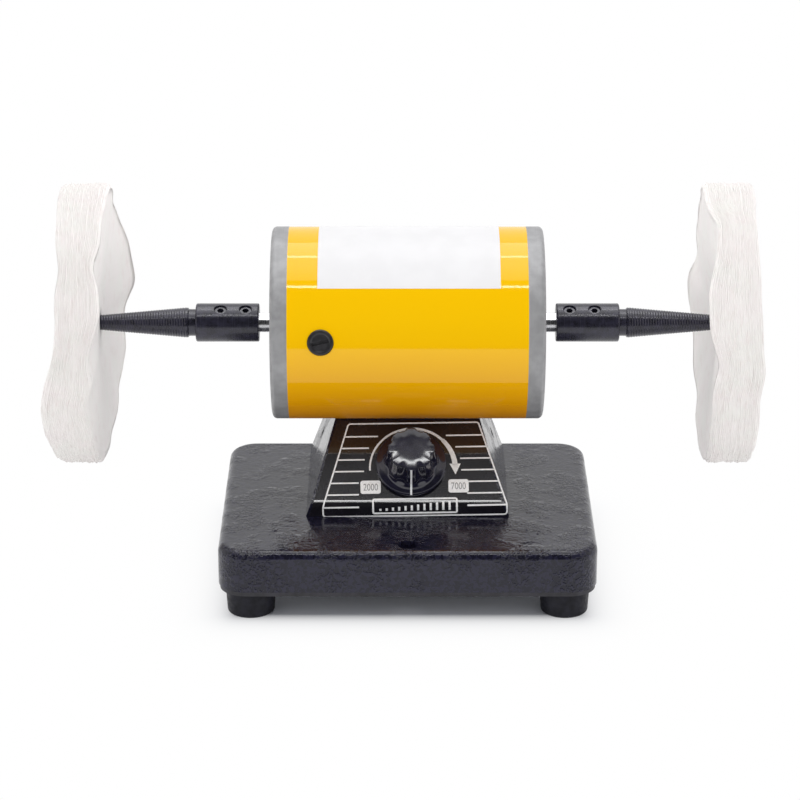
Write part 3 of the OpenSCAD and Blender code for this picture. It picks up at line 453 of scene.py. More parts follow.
def shaft_steel():
    """Ground bar: bright, with fine marks round it."""
    f = Finish("shaft_steel", (0.66, 0.66, 0.68), 0.24, metallic=1.0)
    marks = f.noise(0.25, detail=2, stretch=(1, 1, 100), place=f.from_axis())
    f.relief(marks, 0.004)
    f.polish(marks, 0.18, 0.32)
    f.shade(f.noise(3, detail=3), 0.85, 1.05)
    return f.material


def core_steel():
    """Stacked laminations: thin dark lines across the axis."""
    f = Finish("core_steel", (0.27, 0.27, 0.29), 0.4, metallic=0.9)
    sheets = f.stripes(0.5)
    f.shade(sheets, 0.6, 1.1, 0.1, 0.5)
    f.relief(sheets, 0.03)
    return f.material


def copper():
    """Enamelled copper, wound in layers."""
    f = Finish("copper", (0.72, 0.32, 0.13), 0.28, metallic=1.0)
    f.shade(f.noise(2.5, detail=3), 0.7, 1.1)
    f.relief(f.stripes(0.7, turn=(0, 0, 0.5), wobble=1.5), 0.05)
    return f.material


def blackened_steel():
    """Oil-blackened machined steel, with turning marks."""
    f = Finish("blackened_steel", (0.02, 0.019, 0.034), 0.22, metallic=0.12, specular_ior_level=0.68)
    marks = f.noise(0.45, detail=2, stretch=(1, 1, 100), place=f.from_axis())
    f.relief(marks, 0.0015)
    f.shade(f.noise(2.5, detail=4), 0.7, 1.5)
    f.polish(marks, 0.18, 0.28)
    return f.material


def muslin():
    """Unbleached muslin: a fine square weave, with pale pink and grey-green clouds."""
    f = Finish("muslin", (0.91, 0.865, 0.85), 0.95, sheen_weight=0.1, sheen_roughness=0.5)
    cloudy = f.between(f.noise(11, detail=3), 0, 1, 0.3, 0.7)
    clouds = f.blend(cloudy, (0.94, 0.895, 0.885), (0.925, 0.905, 0.88))
    streaks = f.between(f.noise(5, detail=4, stretch=(0.3, 1, 1)), 0, 0.6, 0.5, 0.72)
    f.paint(f.blend(streaks, clouds, (0.89, 0.83, 0.815)))
    warp = f.stripes(0.45, turn=(0, 0, math.radians(90)))
    weft = f.stripes(0.45, turn=(0, math.radians(90), 0))
    f.relief(f.math("MULTIPLY", warp, weft), 0.035)
    f.relief(f.noise(0.8, detail=3), 0.05)
    return f.material


def label_film():
    """Blank white label with a satin face."""
    f = Finish("label_film", (0.855, 0.85, 0.865), 0.35, specular_ior_level=0.15)
    f.shade(f.noise(9, detail=3), 0.98, 1.01)
    f.relief(f.noise(4, detail=1), 0.004)
    return f.material


SLOT_FINISHES = [
    black_casting, dark_plate, foot_rubber, screw_steel, panel_film, knob_plastic, black_screw, board_green,
    bare_aluminium, capacitor_sleeve, moulded_black, yellow_enamel, cap_grey, ferrite, bearing_steel,
    holder_brass, carbon, shaft_steel, core_steel, copper, blackened_steel, muslin]
finishes = {maker.__name__: maker() for maker in SLOT_FINISHES}

for part in frame["record"]["subparts"]:
    node = frame["nodes"][part["node"]]
    node.data.materials.clear()
    node.data.materials.append(finishes[part["material_slot"]])


# ---------------------------------------------------------------- buffing wheels

WHEEL_R = 58.5
RIM_HALF = 10.5
HUB_HALF = 5.0
HUB_R = 15.0
TAPER_ROOT_R, TAPER_TIP_R, TAPER_L = 6.25, 2.3, 45.0
TAPER_X = in_mm("right_spindle")[1][0] - TAPER_L
BORE_GAP = 0.3
TIP_PAST_MIDDLE = 8.0
WHEEL_COLUMNS = 320
STITCH_RINGS = (11.0, 14.5)
STITCH_DEPTH, STITCH_HALF = 0.35, 0.8
FACE_BULGE = 0.5
FACE_RINGS = (7.5, 9, 10.2, 11, 11.8, 13.2, 14.5, 15.6, 18, 21, 25, 30, 35, 40, 45, 49.5, 53)
PLIES = 26
PLY_STEPS = 4
PLY_DROP = 0.35
RIM_ROUND = 2.6
GROOVE = 0.75

# How far the rim's two faces lean away from the motor, in millimetres, by degrees: 0 front, 90 top
LEFT_SWAY = {"inner": {90: 0, 66: 0.8, 52: 1.7, 43: 3.3, 33: 0.8, 22: 0.5, 10: 3.9, 3: 5.3, -7: 4.3, -17: 6.5,
                       -30: 5.2, -60: 4.0, -105: 3.6, -112: 3.0, -119: 1.8, -124: 1.4, -131: 2.4, -143: 0.9,
                       -149: -0.5, -160: 0.2, -168: 0.2, -174: -2.2, -179: -4.6, -185: -4.6, -190: -3.8,
                       -195: -2.8, -207: -0.6, -225: 2.2, -245: 1.0},
             "outer": {90: -0.7, 65: -0.8, 41: -3.3, 20: -2.5, 5: -1.0, -10: 3.0, -20: 5.0, -38: 3.6,
                       -65: 0.4, -110: 2.0, -150: 0.5, -190: -3.0, -230: 1.5}}
RIGHT_SWAY = {"inner": {90: -1.5, 75: -1.2, 60: 2.8, 50: 2.2, 41: -1.0, 33: -2.6, 15: -1.9, 2: 2.1,
                        -15: -0.6, -60: 1.0, -100: 1.0, -130: 2.2, -155: 1.8, -165: 0.8, -171: -0.4,
                        -179: -1.0, -184: -0.8, -189: 2.0, -194: 3.0, -200: 2.5, -207: 1.5, -225: 1.2,
                        -250: 0.2},
              "outer": {90: -0.9, 60: -2.5, 25: -2.1, 10: -0.6, 0: -0.3, -12: -1.4, -28: -0.9, -45: -0.8,
                        -80: -1.6, -130: 1.0, -180: -1.5, -230: 0.8}}


def taper_radius(x):
    """Radius of the tapered spindle at a distance from the middle of the lathe."""
    return TAPER_ROOT_R + (TAPER_TIP_R - TAPER_ROOT_R) * (x - TAPER_X) / TAPER_L


def lean(sway, angle):
    """Sway at every angle: straight lines between the given places, rounded by a sliding mean."""
    degrees = np.array(sorted(sway), float)
    values = np.array([sway[a] for a in sorted(sway)], float)
    plain = np.interp(np.degrees(angle), degrees, values, period=360)
    window = np.hanning(len(angle) // 30 | 1)
    half = len(window) // 2
    padded = np.concatenate([plain[-half:], plain, plain[:half]])
    return np.convolve(padded, window / window.sum(), "valid")


def on_axis(x, radius, angle):
    """Place in the frame of a point round the motor's axis: angle 0 is its front, a quarter turn its top."""
    return np.stack([x, AXIS_Y - radius * np.cos(angle), AXIS_Z + radius * np.sin(angle)], -1)


def wheel_rings(side, sway, rng):
    """Rings of a wheel, from the bore over the inner face, tread and outer face back to the bore.

    A point has an angle round the axis, a radius and a place across the wheel. The faces open from
    the stitched hub to the rim and follow the sway and soft radial folds, both growing outwards.
    The tread is a row of plies: each has its own wavering edge, with a groove on either side.
    """
    angle = np.linspace(0, TURN, WHEEL_COLUMNS, endpoint=False)
    sway_in, sway_out = (lean(sway[face], angle) for face in ("inner", "outer"))
    fold_in, fold_out = (ripple(angle, (7, 11, 13, 17), 0.45, rng) for _ in range(2))
    radii, places = [], []

    def face_ring(radius, inner):
        """One ring on a face: hub thickness, then a straight opening, sway, folds and stitched dimples."""
        out = np.clip((radius - HUB_R) / (WHEEL_R - HUB_R), 0, 1)
        half = HUB_HALF + (RIM_HALF - HUB_HALF) * out
        dimple = sum(STITCH_DEPTH * math.exp(-((radius - r) / STITCH_HALF) ** 2) for r in STITCH_RINGS)
        bulge = FACE_BULGE * math.sin(math.pi * min(1.0, out * 1.15))
        move = (sway_in if inner else sway_out) * out ** 1.6 + (fold_in if inner else fold_out) * out
        return (-1 if inner else 1) * (half + bulge - dimple) + move

    middle = TAPER_X + TAPER_L - TIP_PAST_MIDDLE
    bore = [taper_radius(middle - h) + BORE_GAP for h in (HUB_HALF, 0, -HUB_HALF)]
    flank = [bore[0], *FACE_RINGS, WHEEL_R - RIM_ROUND]
    for radius in flank:
        radii.append(np.full(WHEEL_COLUMNS, radius))
        places.append(face_ring(radius, True))
    rim_in, rim_out = face_ring(WHEEL_R, True), face_ring(WHEEL_R, False)
    common = ripple(angle, (2, 3, 5), 0.25, rng)
    for ply in range(PLIES):
        edge = ripple(angle, (3, 8, 19, 31, 47), 0.3, rng) + rng.uniform(-0.25, 0.15)
        wander = ripple(angle, (4, 9, 14, 23), 0.28, rng)
        for step in range(PLY_STEPS):
            share = (ply + (step + 0.5) / PLY_STEPS) / PLIES
            across = 2 * share - 1
            corner = max(0.0, abs(across) - (1 - RIM_ROUND / RIM_HALF)) * RIM_HALF / RIM_ROUND
            crest = math.sin(math.pi * (step + 0.5) / PLY_STEPS) ** 0.7
            rounding = RIM_ROUND * (1 - math.sqrt(max(0.0, 1 - corner * corner)))
            radii.append(WHEEL_R - PLY_DROP - rounding - GROOVE * (1 - crest) + common + edge * crest)
            places.append(rim_in + (rim_out - rim_in) * (share + wander / PLIES * math.sin(math.pi * share)))
    for radius in reversed(flank[1:]):
        radii.append(np.full(WHEEL_COLUMNS, radius))
        places.append(face_ring(radius, False))
    for radius, place in ((bore[2], HUB_HALF), (bore[1], 0.0)):
        radii.append(np.full(WHEEL_COLUMNS, radius))
        places.append(np.full(WHEEL_COLUMNS, place))
    mid = abs(sum(in_mm(f"{side}_wheel")[i][0] for i in (0, 1)) / 2)
    sign = -1 if side == "left" else 1
    return on_axis(sign * (mid + np.array(places)), np.array(radii), angle)


def buffing_wheel(side, sway, seed):
    """A stack of muslin plies, clamped at the hub and free at the rim.

    The last ring joins the first inside the bore. The rings mirror from side to side, so the faces turn.
    """
    rings = wheel_rings(side, sway, np.random.default_rng(seed))
    faces = band(*rings.shape[:2], row_loop=True)
    if side == "right":
        faces = [face[::-1] for face in faces]
    wheel = make_piece(f"{side}_buff", rings.reshape(-1, 3), faces, finishes["muslin"], "rotor")
    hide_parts(f"{side}_wheel")


# ---------------------------------------------------------------- tapered threads

THREAD_PITCH = 1.1
THREAD_DEPTH = 0.21
THREAD_COLUMNS = 48
THREAD_STEPS = 8
THREAD_SINK = 0.03
THREAD_ROOT_GAP, THREAD_TIP_GAP = 0.4, 0.9
THREAD_ROOT_RUNOUT, THREAD_TIP_RUNOUT = 1.6, 3.1


def tapered_thread(side, hand):
    """Skin of a tapered screw: the cone's radius plus a ridge that climbs one pitch in each turn.

    The ridge is a rounded triangle wave of (place along the axis / pitch - hand * angle / one turn),
    and it dies out at both ends.
    """
    along = np.arange(THREAD_ROOT_GAP, TAPER_L - THREAD_TIP_GAP, THREAD_PITCH / THREAD_STEPS)
    angle = np.linspace(0, TURN, THREAD_COLUMNS, endpoint=False)
    phase = (along[:, None] / THREAD_PITCH - hand * angle[None, :] / TURN) % 1
    ridge = (1 - np.abs(2 * phase - 1)) ** 0.8
    starts = smoothstep(0, THREAD_ROOT_RUNOUT, along)
    ends = smoothstep(TAPER_L - THREAD_TIP_RUNOUT, TAPER_L - THREAD_TIP_GAP, along)
    ridge = ridge * (starts * (1 - ends))[:, None]
    radius = taper_radius(TAPER_X + along)[:, None] - THREAD_SINK + THREAD_DEPTH * ridge
    sign = -1 if side == "left" else 1
    x = np.repeat(sign * (TAPER_X + along)[:, None], THREAD_COLUMNS, 1)
    sections = np.stack([x, AXIS_Y + radius * np.cos(angle), AXIS_Z + radius * np.sin(angle)], -1)
    if side == "left":
        sections = sections[::-1]
    points, faces = sleeve(sections)
    screw = make_piece(f"{side}_taper_thread", points, faces, finishes["blackened_steel"], "rotor")


# ---------------------------------------------------------------- speed knob

LOBES = 8
LOBE_COLUMNS = 24
GRIP_R, GRIP_FLARE, KNOB_H, FLARE_H = 9.4, 2.2, 16.5, 4.6
SKIRT_R, SKIRT_T = 14.6, 1.6
FLUTE_R, FLUTE_DEPTH = 3.4, 0.9
KNOB_LIFT = 1.0
NUT_ROOM_R, NUT_ROOM_H = 6.57, 4.0
SHAFT_R, SHAFT_TOP = 3.05, 13.6
COVE_DEPTH = 0.55
TOP_CHAMFER = 0.3
CROWN_START, CROWN_BEND = 4.6, 0.0174
POINTER_HALF, POINTER_PROUD, POINTER_SUNK = 0.4, 0.05, 0.12


def on_knob(across, up, out):
    """Place in the frame of a point given from the knob's foot: across, up the panel, out of it."""
    return (KNOB_FOOT + np.multiply.outer(across, ACROSS) + np.multiply.outer(up, UPHILL)
            + np.multiply.outer(out + KNOB_LIFT, KNOB_OUT))


def flute(angle):
    """Depth cut into the grip by a round flute of radius FLUTE_R: to the flute's near side, where it cuts."""
    pitch = TURN / LOBES
    off = (angle + pitch) % pitch - pitch / 2
    axis = GRIP_R - FLUTE_DEPTH + FLUTE_R
    inside = FLUTE_R ** 2 - (axis * np.sin(off)) ** 2
    near = axis * np.cos(off) - np.sqrt(np.maximum(inside, 0))
    return np.where(inside > 0, np.maximum(GRIP_R - near, 0), 0)


def knob_grip_radius(height):
    """Radius of the grip before its flutes: it narrows evenly from the flare to the top."""
    return GRIP_R + GRIP_FLARE * (1 - height / KNOB_H)


def crown(radius):
    """Fall of the knob's top: none near the middle, then a slope that grows evenly outwards."""
    return 0.5 * CROWN_BEND * max(0.0, radius - CROWN_START) ** 2


def knob_profile():
    """Rows of (radius, height, share of flute): shaft hole, nut room, skirt, cove, grip, chamfer, top."""
    rows = [(POLE_R, SHAFT_TOP, 0), (SHAFT_R, SHAFT_TOP, 0), (SHAFT_R, NUT_ROOM_H, 0),
            (NUT_ROOM_R, NUT_ROOM_H, 0), (NUT_ROOM_R, 0.15, 0), (NUT_ROOM_R + 0.15, 0, 0),
            (SKIRT_R - 0.3, 0, 0), (SKIRT_R - 0.05, 0.12, 0), (SKIRT_R, 0.35, 0),
            (SKIRT_R, SKIRT_T - 0.35, 0), (SKIRT_R - 0.12, SKIRT_T - 0.08, 0)]
    for t in np.linspace(0, 1, 9)[1:-1]:
        height = SKIRT_T + (FLARE_H - SKIRT_T) * t
        straight = SKIRT_R - (SKIRT_R - knob_grip_radius(FLARE_H)) * t
        rows.append((straight - COVE_DEPTH * math.sin(math.pi * t), height, 0.5 * smoothstep(0.7, 1.0, t)))
    for height in np.linspace(FLARE_H, KNOB_H - TOP_CHAMFER, 16):
        share = 0.5 + 0.5 * smoothstep(FLARE_H, FLARE_H + 0.9, height)
        rows.append((knob_grip_radius(height), height, share))
    edge = knob_grip_radius(KNOB_H) - TOP_CHAMFER
    for t in np.linspace(0, 1, 7)[1:]:
        turn = t * math.pi / 2
        rows.append((edge + TOP_CHAMFER * math.cos(turn),
                     KNOB_H - crown(edge) - TOP_CHAMFER * (1 - math.sin(turn)), 1 - 0.1 * t))
    for radius in np.append(np.linspace(edge, 1, 20)[1:], POLE_R):
        rows.append((radius, KNOB_H - crown(radius), 0.9 * smoothstep(4.0, edge, radius)))
    return np.array(rows)


def speed_knob():
    """Fluted knob: profile radius less the flute's depth at each angle, with a lobe at the front."""
    columns = LOBES * LOBE_COLUMNS
    angle = np.linspace(0, TURN, columns, endpoint=False)
    radius, height, share = knob_profile().T
    cut = flute(angle - TURN / 4)
    reach = radius[:, None] - share[:, None] * cut[None, :]
    out = np.repeat(height[:, None], columns, 1)
    sections = on_knob(reach * np.cos(angle), reach * np.sin(angle), out)
    points, faces = sleeve(sections)
    knob = make_piece("speed_knob_moulding", points, faces, finishes["knob_plastic"], "knob")
    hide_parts("speed_knob")


def knob_pointer():
    """White line let into the front lobe, from below the chamfer down to the skirt."""
    profile = knob_profile()
    outer = profile[profile[:, 0] > NUT_ROOM_R + 1]
    order = np.argsort(outer[:, 1])
    heights = np.linspace(SKIRT_T - 0.1, KNOB_H - TOP_CHAMFER - 0.2, 40)
    reach = np.interp(heights, outer[order, 1], outer[order, 0])
    corners = ((-POINTER_HALF, POINTER_PROUD), (POINTER_HALF, POINTER_PROUD),
               (POINTER_HALF, -POINTER_SUNK), (-POINTER_HALF, -POINTER_SUNK))
    sections = np.stack([on_knob(np.full(len(heights), across), -(reach + lift), heights)
                         for across, lift in corners], axis=1)
    points, faces = sleeve(sections)
    pointer = make_piece("knob_pointer", points, faces, white_ink("pointer_ink"), "knob", smooth=False)


# ---------------------------------------------------------------- printed panel

PRINT_MIDDLE = 3.05
PRINT_TURN = math.radians(0.97)
INK_LOW, INK_HIGH = -0.03, 0.07
RULE_W = 0.62
RULE_PITCH = 5.22
RULE_FIRST = -0.4
RULES = 7
FRAME_TOP, FRAME_BOTTOM = 36.75, -4.45
FRAME_HALF_LOW, FRAME_HALF_HIGH = 38.0, 27.1
FRAME_ROUND = 1.3
DIAL_X, DIAL_UP, DIAL_R = -0.7, 16.5, 17.7
RULE_CLEAR = 20.2
ARC_START, ARC_END, ARC_W = 183, 42, (0.7, 1.15)
BLADE_START, BLADE_END, BLADE_W = 44, 3, (1.7, 2.2)
FIGURE_BOX = (8.4, 5.9)
FIGURE_SIZE = (6.0, 3.1)
FIGURE_PROUD, FIGURE_SUNK = 0.05, 0.03
FIGURE_X = 18.2
FIGURE_UP = 8.1
GAUGE_X = (-17.3, 17.3)
GAUGE_UP = (-3.2, 2.6)
GAUGE_W, GAUGE_ROUND = 0.75, 0.6
GAUGE_MARKS = 12
MARK_W, MARK_MARGIN = 0.9, 3.0
MARK_FOOT, MARK_FIRST_TOP, MARK_GROWTH = 1.1, 2.0, 2.6


def off_panel(up, stand):
    """Y and Z of a place that stands off the casting's panel by a distance.

    Up runs up the slope from the fold's corner, and below 0 down the lip. Between the two flats the
    panel follows an arc about the fold's centre.
    """
    bend = math.pi - FOLD_HALF * (np.clip(up / FOLD_REACH, -1, 1) + 1)
    slope, lip = np.maximum(up - FOLD_REACH, 0), np.minimum(up + FOLD_REACH, 0)
    return (FOLD_Y + FOLD_R + (FOLD_R + stand) * np.cos(bend) + slope * math.cos(PANEL_SLOPE),
            FOLD_Z - FOLD_REACH + (FOLD_R + stand) * np.sin(bend) + slope * math.sin(PANEL_SLOPE) + lip)


def on_film(points, lift):
    """Places in the frame of print points (across, up), lifted off the film.

    The print is turned a little and moved to the right.
    """
    across, up = np.asarray(points, float).T
    x = PRINT_MIDDLE + across * math.cos(PRINT_TURN) - up * math.sin(PRINT_TURN)
    turned_up = up * math.cos(PRINT_TURN) + across * math.sin(PRINT_TURN)
    return np.stack([x, *off_panel(turned_up, FILM_T + lift)], -1)


def finer(line, step=0.5):
    """A line with points added so that none lie further apart than the step."""
    line = np.asarray(line, float)
    parts = []
    for a, b in zip(line[:-1], line[1:]):
        count = max(1, math.ceil(np.linalg.norm(b - a) / step))
        parts.append(a + (b - a) * np.arange(count)[:, None] / count)
    return np.concatenate(parts + [line[-1:]])


def ink_bar(line, way, width):
    """Sections of a flat bar of ink: at each point of a line, half its width to either side of its way.

    The width is even, or given at every point.
    """
    side = np.stack([-way[:, 1], way[:, 0]], axis=-1)
    side *= (np.broadcast_to(width, len(line)) / 2 / np.linalg.norm(side, axis=1))[:, None]
    corners = ((1, INK_LOW), (1, INK_HIGH), (-1, INK_HIGH), (-1, INK_LOW))
    return np.stack([on_film(line + k * side, lift) for k, lift in corners], axis=1)


def ink_line(line, width):
    """A bar of ink along an open line."""
    return sleeve(ink_bar(line, np.gradient(line, axis=0), width))


def ink_loop(line, width):
    """A bar of ink along a closed line."""
    sections = ink_bar(line, np.roll(line, -1, 0) - np.roll(line, 1, 0), width)
    return sections.reshape(-1, 3), band(len(line), 4, row_loop=True)


def ink_patch(outline):
    """A flat patch of ink inside an outline that runs anticlockwise."""
    count = len(outline)
    low, high = (on_film(outline, lift) for lift in (INK_LOW, INK_HIGH))
    sides = [[i, (i + 1) % count, count + (i + 1) % count, count + i] for i in range(count)]
    return np.concatenate([low, high]), [list(range(count))[::-1], list(range(count, 2 * count))] + sides


def round_corners(corners, radius, steps=6):
    """An anticlockwise outline whose corners are arcs of this radius."""
    corners = np.asarray(corners, float)
    points = []
    for before, here, after in zip(np.roll(corners, 1, 0), corners, np.roll(corners, -1, 0)):
        u, v = ((p - here) / np.linalg.norm(p - here) for p in (before, after))
        half = math.acos(np.clip(u @ v, -1, 1)) / 2
        centre = here + (u + v) / np.linalg.norm(u + v) * radius / math.sin(half)
        start = here + u * radius / math.tan(half) - centre
        sweep = math.pi - 2 * half
        for t in np.linspace(0, sweep, steps):
            points.append(centre + [start[0] * math.cos(t) - start[1] * math.sin(t),
                                    start[0] * math.sin(t) + start[1] * math.cos(t)])
    return np.array(points)


def box_corners(x_low, x_high, up_low, up_high):
    """Corners of a box, anticlockwise."""
    return [(x_low, up_low), (x_high, up_low), (x_high, up_high), (x_low, up_high)]


def finer_loop(outline):
    """A closed outline made finer all the way round."""
    return finer(np.concatenate([outline, outline[:1]]))[:-1]


def frame_half(up):
    """Half the width of the printed frame at a height up the slope; below the fold it is upright."""
    share = (max(up, RULE_FIRST) - RULE_FIRST) / (FRAME_TOP - RULE_FIRST)
    return FRAME_HALF_LOW + (FRAME_HALF_HIGH - FRAME_HALF_LOW) * share


def printed_rules():
    """The lines beside the dial: each runs from the frame to the dial's clear circle or a figure box."""
    lines = []
    for k in range(RULES):
        up = RULE_FIRST + k * RULE_PITCH
        away = RULE_CLEAR ** 2 - (up - DIAL_UP) ** 2
        inner = math.sqrt(away) if up > DIAL_UP - 3 else FIGURE_X + FIGURE_BOX[0] / 2
        for side in (-1, 1):
            ends = [(side * frame_half(up), up), (DIAL_X + side * inner, up)]
            lines.append(ink_line(finer(ends), RULE_W))
    return lines


def dial_arc(start, end, widths, count):
    """A bar of ink round the dial between two angles in degrees, its width growing evenly."""
    turn = np.radians(np.linspace(start, end, count))
    line = np.stack([DIAL_X + DIAL_R * np.cos(turn), DIAL_UP + DIAL_R * np.sin(turn)], -1)
    return ink_line(line, np.linspace(*widths, count))


def printed_arrow():
    """Arc round the knob that swells near its end into a blade with a tip pointing down."""
    tip = [(DIAL_X + DIAL_R - 2.3, DIAL_UP + 1.6), (DIAL_X + DIAL_R + 0.1, DIAL_UP - 3.2),
           (DIAL_X + DIAL_R + 2.3, DIAL_UP + 1.6)]
    return [dial_arc(ARC_START, ARC_END, ARC_W, 90), dial_arc(BLADE_START, BLADE_END, BLADE_W, 40),
            ink_patch(tip)]


def printed_gauge():
    """Framed row of graduations across the fold, growing from left to right."""
    outline = round_corners(box_corners(*GAUGE_X, *GAUGE_UP), GAUGE_ROUND)
    marks = [ink_loop(finer_loop(outline), GAUGE_W)]
    last = GAUGE_MARKS - 1
    for k in range(GAUGE_MARKS):
        x = GAUGE_X[0] + MARK_MARGIN + k * (GAUGE_X[1] - GAUGE_X[0] - 2 * MARK_MARGIN) / last
        top = GAUGE_UP[0] + MARK_FIRST_TOP + MARK_GROWTH * k / last
        marks.append(ink_line(finer([(x, GAUGE_UP[0] + MARK_FOOT), (x, top)], 0.25), MARK_W))
    return marks


def printed_panel():
    """All the white print of the panel, as one piece."""
    corners = [(-FRAME_HALF_LOW, FRAME_BOTTOM), (FRAME_HALF_LOW, FRAME_BOTTOM), (FRAME_HALF_LOW, RULE_FIRST),
               (FRAME_HALF_HIGH, FRAME_TOP), (-FRAME_HALF_HIGH, FRAME_TOP), (-FRAME_HALF_LOW, RULE_FIRST)]
    marks = [ink_loop(finer_loop(round_corners(corners, FRAME_ROUND)), RULE_W)]
    marks += printed_rules() + printed_arrow() + printed_gauge()
    for side in (-1, 1):
        box = box_corners(side * FIGURE_X - FIGURE_BOX[0] / 2, side * FIGURE_X + FIGURE_BOX[0] / 2,
                          FIGURE_UP - FIGURE_BOX[1] / 2, FIGURE_UP + FIGURE_BOX[1] / 2)
        marks.append(ink_patch(round_corners(box, 1.0)))
    piece = make_piece("panel_print", *joined(marks), white_ink(), "base", smooth=False)


def printed_figure(name, figures, middle, finish):
    """Plain figures from the built-in font, scaled to FIGURE_SIZE and laid on their box."""
    curve = bpy.data.curves.new(name, "FONT")
    curve.body = figures
    curve.align_x, curve.align_y = "CENTER", "CENTER"
    curve.resolution_u = 4
    curve.extrude = FIGURE_SUNK
    drawn = bpy.data.objects.new(name, curve)
    bpy.context.scene.collection.objects.link(drawn)
    mesh = bpy.data.meshes.new_from_object(drawn.evaluated_get(bpy.context.evaluated_depsgraph_get()))
    bpy.data.objects.remove(drawn)
    flat = np.empty(len(mesh.vertices) * 3)
    mesh.vertices.foreach_get("co", flat)
    flat = flat.reshape(-1, 3)
    low, high = flat.min(0), flat.max(0)
    place = (flat[:, :2] - (low + high)[:2] / 2) / (high - low)[:2] * FIGURE_SIZE + middle
    lift = INK_HIGH + np.where(flat[:, 2] > 0, FIGURE_PROUD, -FIGURE_SUNK)
    faces = [list(face.vertices) for face in mesh.polygons]
    bpy.data.meshes.remove(mesh)
    make_piece(name, on_film(place, lift), faces, finish, "base", smooth=False)


# ---------------------------------------------------------------- brush caps

CAP_R, CAP_SEAT, CAP_HEAD = 5.35, 39.5, 40.7
CAP_STEM_R, CAP_STEM = 4.2, 36.6
CAP_DISH_R, CAP_DISH = 3.8, 0.3
CAP_ROUND = 0.7
CAP_COLUMNS, CAP_FACE_RINGS = 144, 44
SLOT_HALF, SLOT_DEPTH = 0.75, 1.3
SLOT_TURN = math.radians(15)


def brush_cap(side):
    """Moulded screw cap: a stem and a round-edged head with a dished face and a slot across the dish.

    The head is a profile of (radius, height), less the dish and the slot, both with steep smooth walls.
    """
    low, high = in_mm(f"{side}_brush_cap")
    out = (low + high) / 2 - [0, AXIS_Y, AXIS_Z]
    x_middle, out = out[0], out * [0, 1, 1]
    out /= np.linalg.norm(out)
    over = np.cross(out, ACROSS)
    rows = [(POLE_R, CAP_STEM), (CAP_STEM_R, CAP_STEM), (CAP_STEM_R, CAP_SEAT), (CAP_R, CAP_SEAT)]
    rows += [(CAP_R - CAP_ROUND * (1 - math.cos(t)), CAP_HEAD - CAP_ROUND * (1 - math.sin(t)))
             for t in np.linspace(0, math.pi / 2, 7)]
    rows += [(r, CAP_HEAD) for r in np.linspace(CAP_R - CAP_ROUND - 0.15, POLE_R, CAP_FACE_RINGS)]
    radius, height = np.array(rows).T
    angle = np.linspace(0, TURN, CAP_COLUMNS, endpoint=False)
    u, v = radius[:, None] * np.cos(angle), radius[:, None] * np.sin(angle)
    along = np.abs(u * math.cos(SLOT_TURN) + v * math.sin(SLOT_TURN))
    off = np.abs(v * math.cos(SLOT_TURN) - u * math.sin(SLOT_TURN))
    slot = smoothstep(SLOT_HALF + 0.1, SLOT_HALF - 0.1, off)
    slot = slot * smoothstep(CAP_DISH_R - 0.2, CAP_DISH_R - 0.4, along)
    dish = smoothstep(CAP_DISH_R + 0.3, CAP_DISH_R - 0.3, radius)[:, None]
    head = np.where(height[:, None] > CAP_HEAD - 0.01, np.maximum(SLOT_DEPTH * slot, CAP_DISH * dish), 0)
    place = (np.array([x_middle, AXIS_Y, AXIS_Z]) + np.multiply.outer(u, ACROSS) + np.multiply.outer(v, over)
             + np.multiply.outer(height[:, None] - head, out))
    cap = make_piece(f"{side}_brush_cap_head", *sleeve(place), finishes["moulded_black"], "base")
    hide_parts(f"{side}_brush_cap")


# ---------------------------------------------------------------- motor label

LABEL_X = (-36.6, 37.7)
LABEL_TURN = (39.5, 128.0)
LABEL_T, LABEL_SUNK = 0.16, 0.1


def motor_label():
    """Blank film wrapped over the motor: a thin shell between two angles above the front."""
    up = np.radians(np.linspace(*LABEL_TURN, 90))
    angle = np.concatenate([up, up[::-1]])
    radius = np.repeat([MOTOR_R - LABEL_SUNK, MOTOR_R + LABEL_T], len(up))
    sections = [on_axis(np.full(len(angle), x), radius, angle) for x in np.linspace(*LABEL_X, 12)]
    points, faces = sleeve(np.stack(sections))
    label = make_piece("motor_label", points, faces, label_film(), "base", smooth=False)


buffing_wheel("left", LEFT_SWAY, 11)
buffing_wheel("right", RIGHT_SWAY, 23)
tapered_thread("left", -1)
tapered_thread("right", 1)
speed_knob()
knob_pointer()
printed_panel()
figure_ink = grey_ink()
printed_figure("figure_low", "2000", (-FIGURE_X, FIGURE_UP), figure_ink)
printed_figure("figure_high", "7000", (FIGURE_X, FIGURE_UP), figure_ink)
brush_cap("front")
brush_cap("rear")
motor_label()


# ---------------------------------------------------------------- studio

CAMERA_AIM = np.array([-3.127, -6.75, 73.294])
CAMERA_BACK = 1282.0
CAMERA_RISE = math.radians(20.936)
CAMERA_LENS = 138.825
LAMP_WIDTH = 1.1
LAMP_HEIGHT = 1.15
STRIP_DROP = 0.02
GLINT_FRONT = 0.03
FILL_LOW, FILL_TOP, FILL_ASIDE = 1.08, 0.35, 1.8
FLOOR_REACH = 3.0
FLOOR_FRONT = 0.52
FLOOR_TUCK = 0.008
FLOOR_FADE = 0.0065
FLOOR_FILL = 0.85


def set_camera():
    """A long lens, level with the motor's axis from side to side and looking down on the base."""
    camera = bpy.data.objects.new("camera", bpy.data.cameras.new("camera"))
    back = np.array([0, -math.cos(CAMERA_RISE), math.sin(CAMERA_RISE)])
    camera.location = (CAMERA_AIM + CAMERA_BACK * back) * MM
    camera.rotation_euler = (math.pi / 2 - CAMERA_RISE, 0, 0)
    camera.data.lens = CAMERA_LENS
    camera.data.sensor_width = 36
    camera.data.clip_start, camera.data.clip_end = 0.05, 20
    bpy.context.scene.collection.objects.link(camera)
    bpy.context.scene.camera = camera


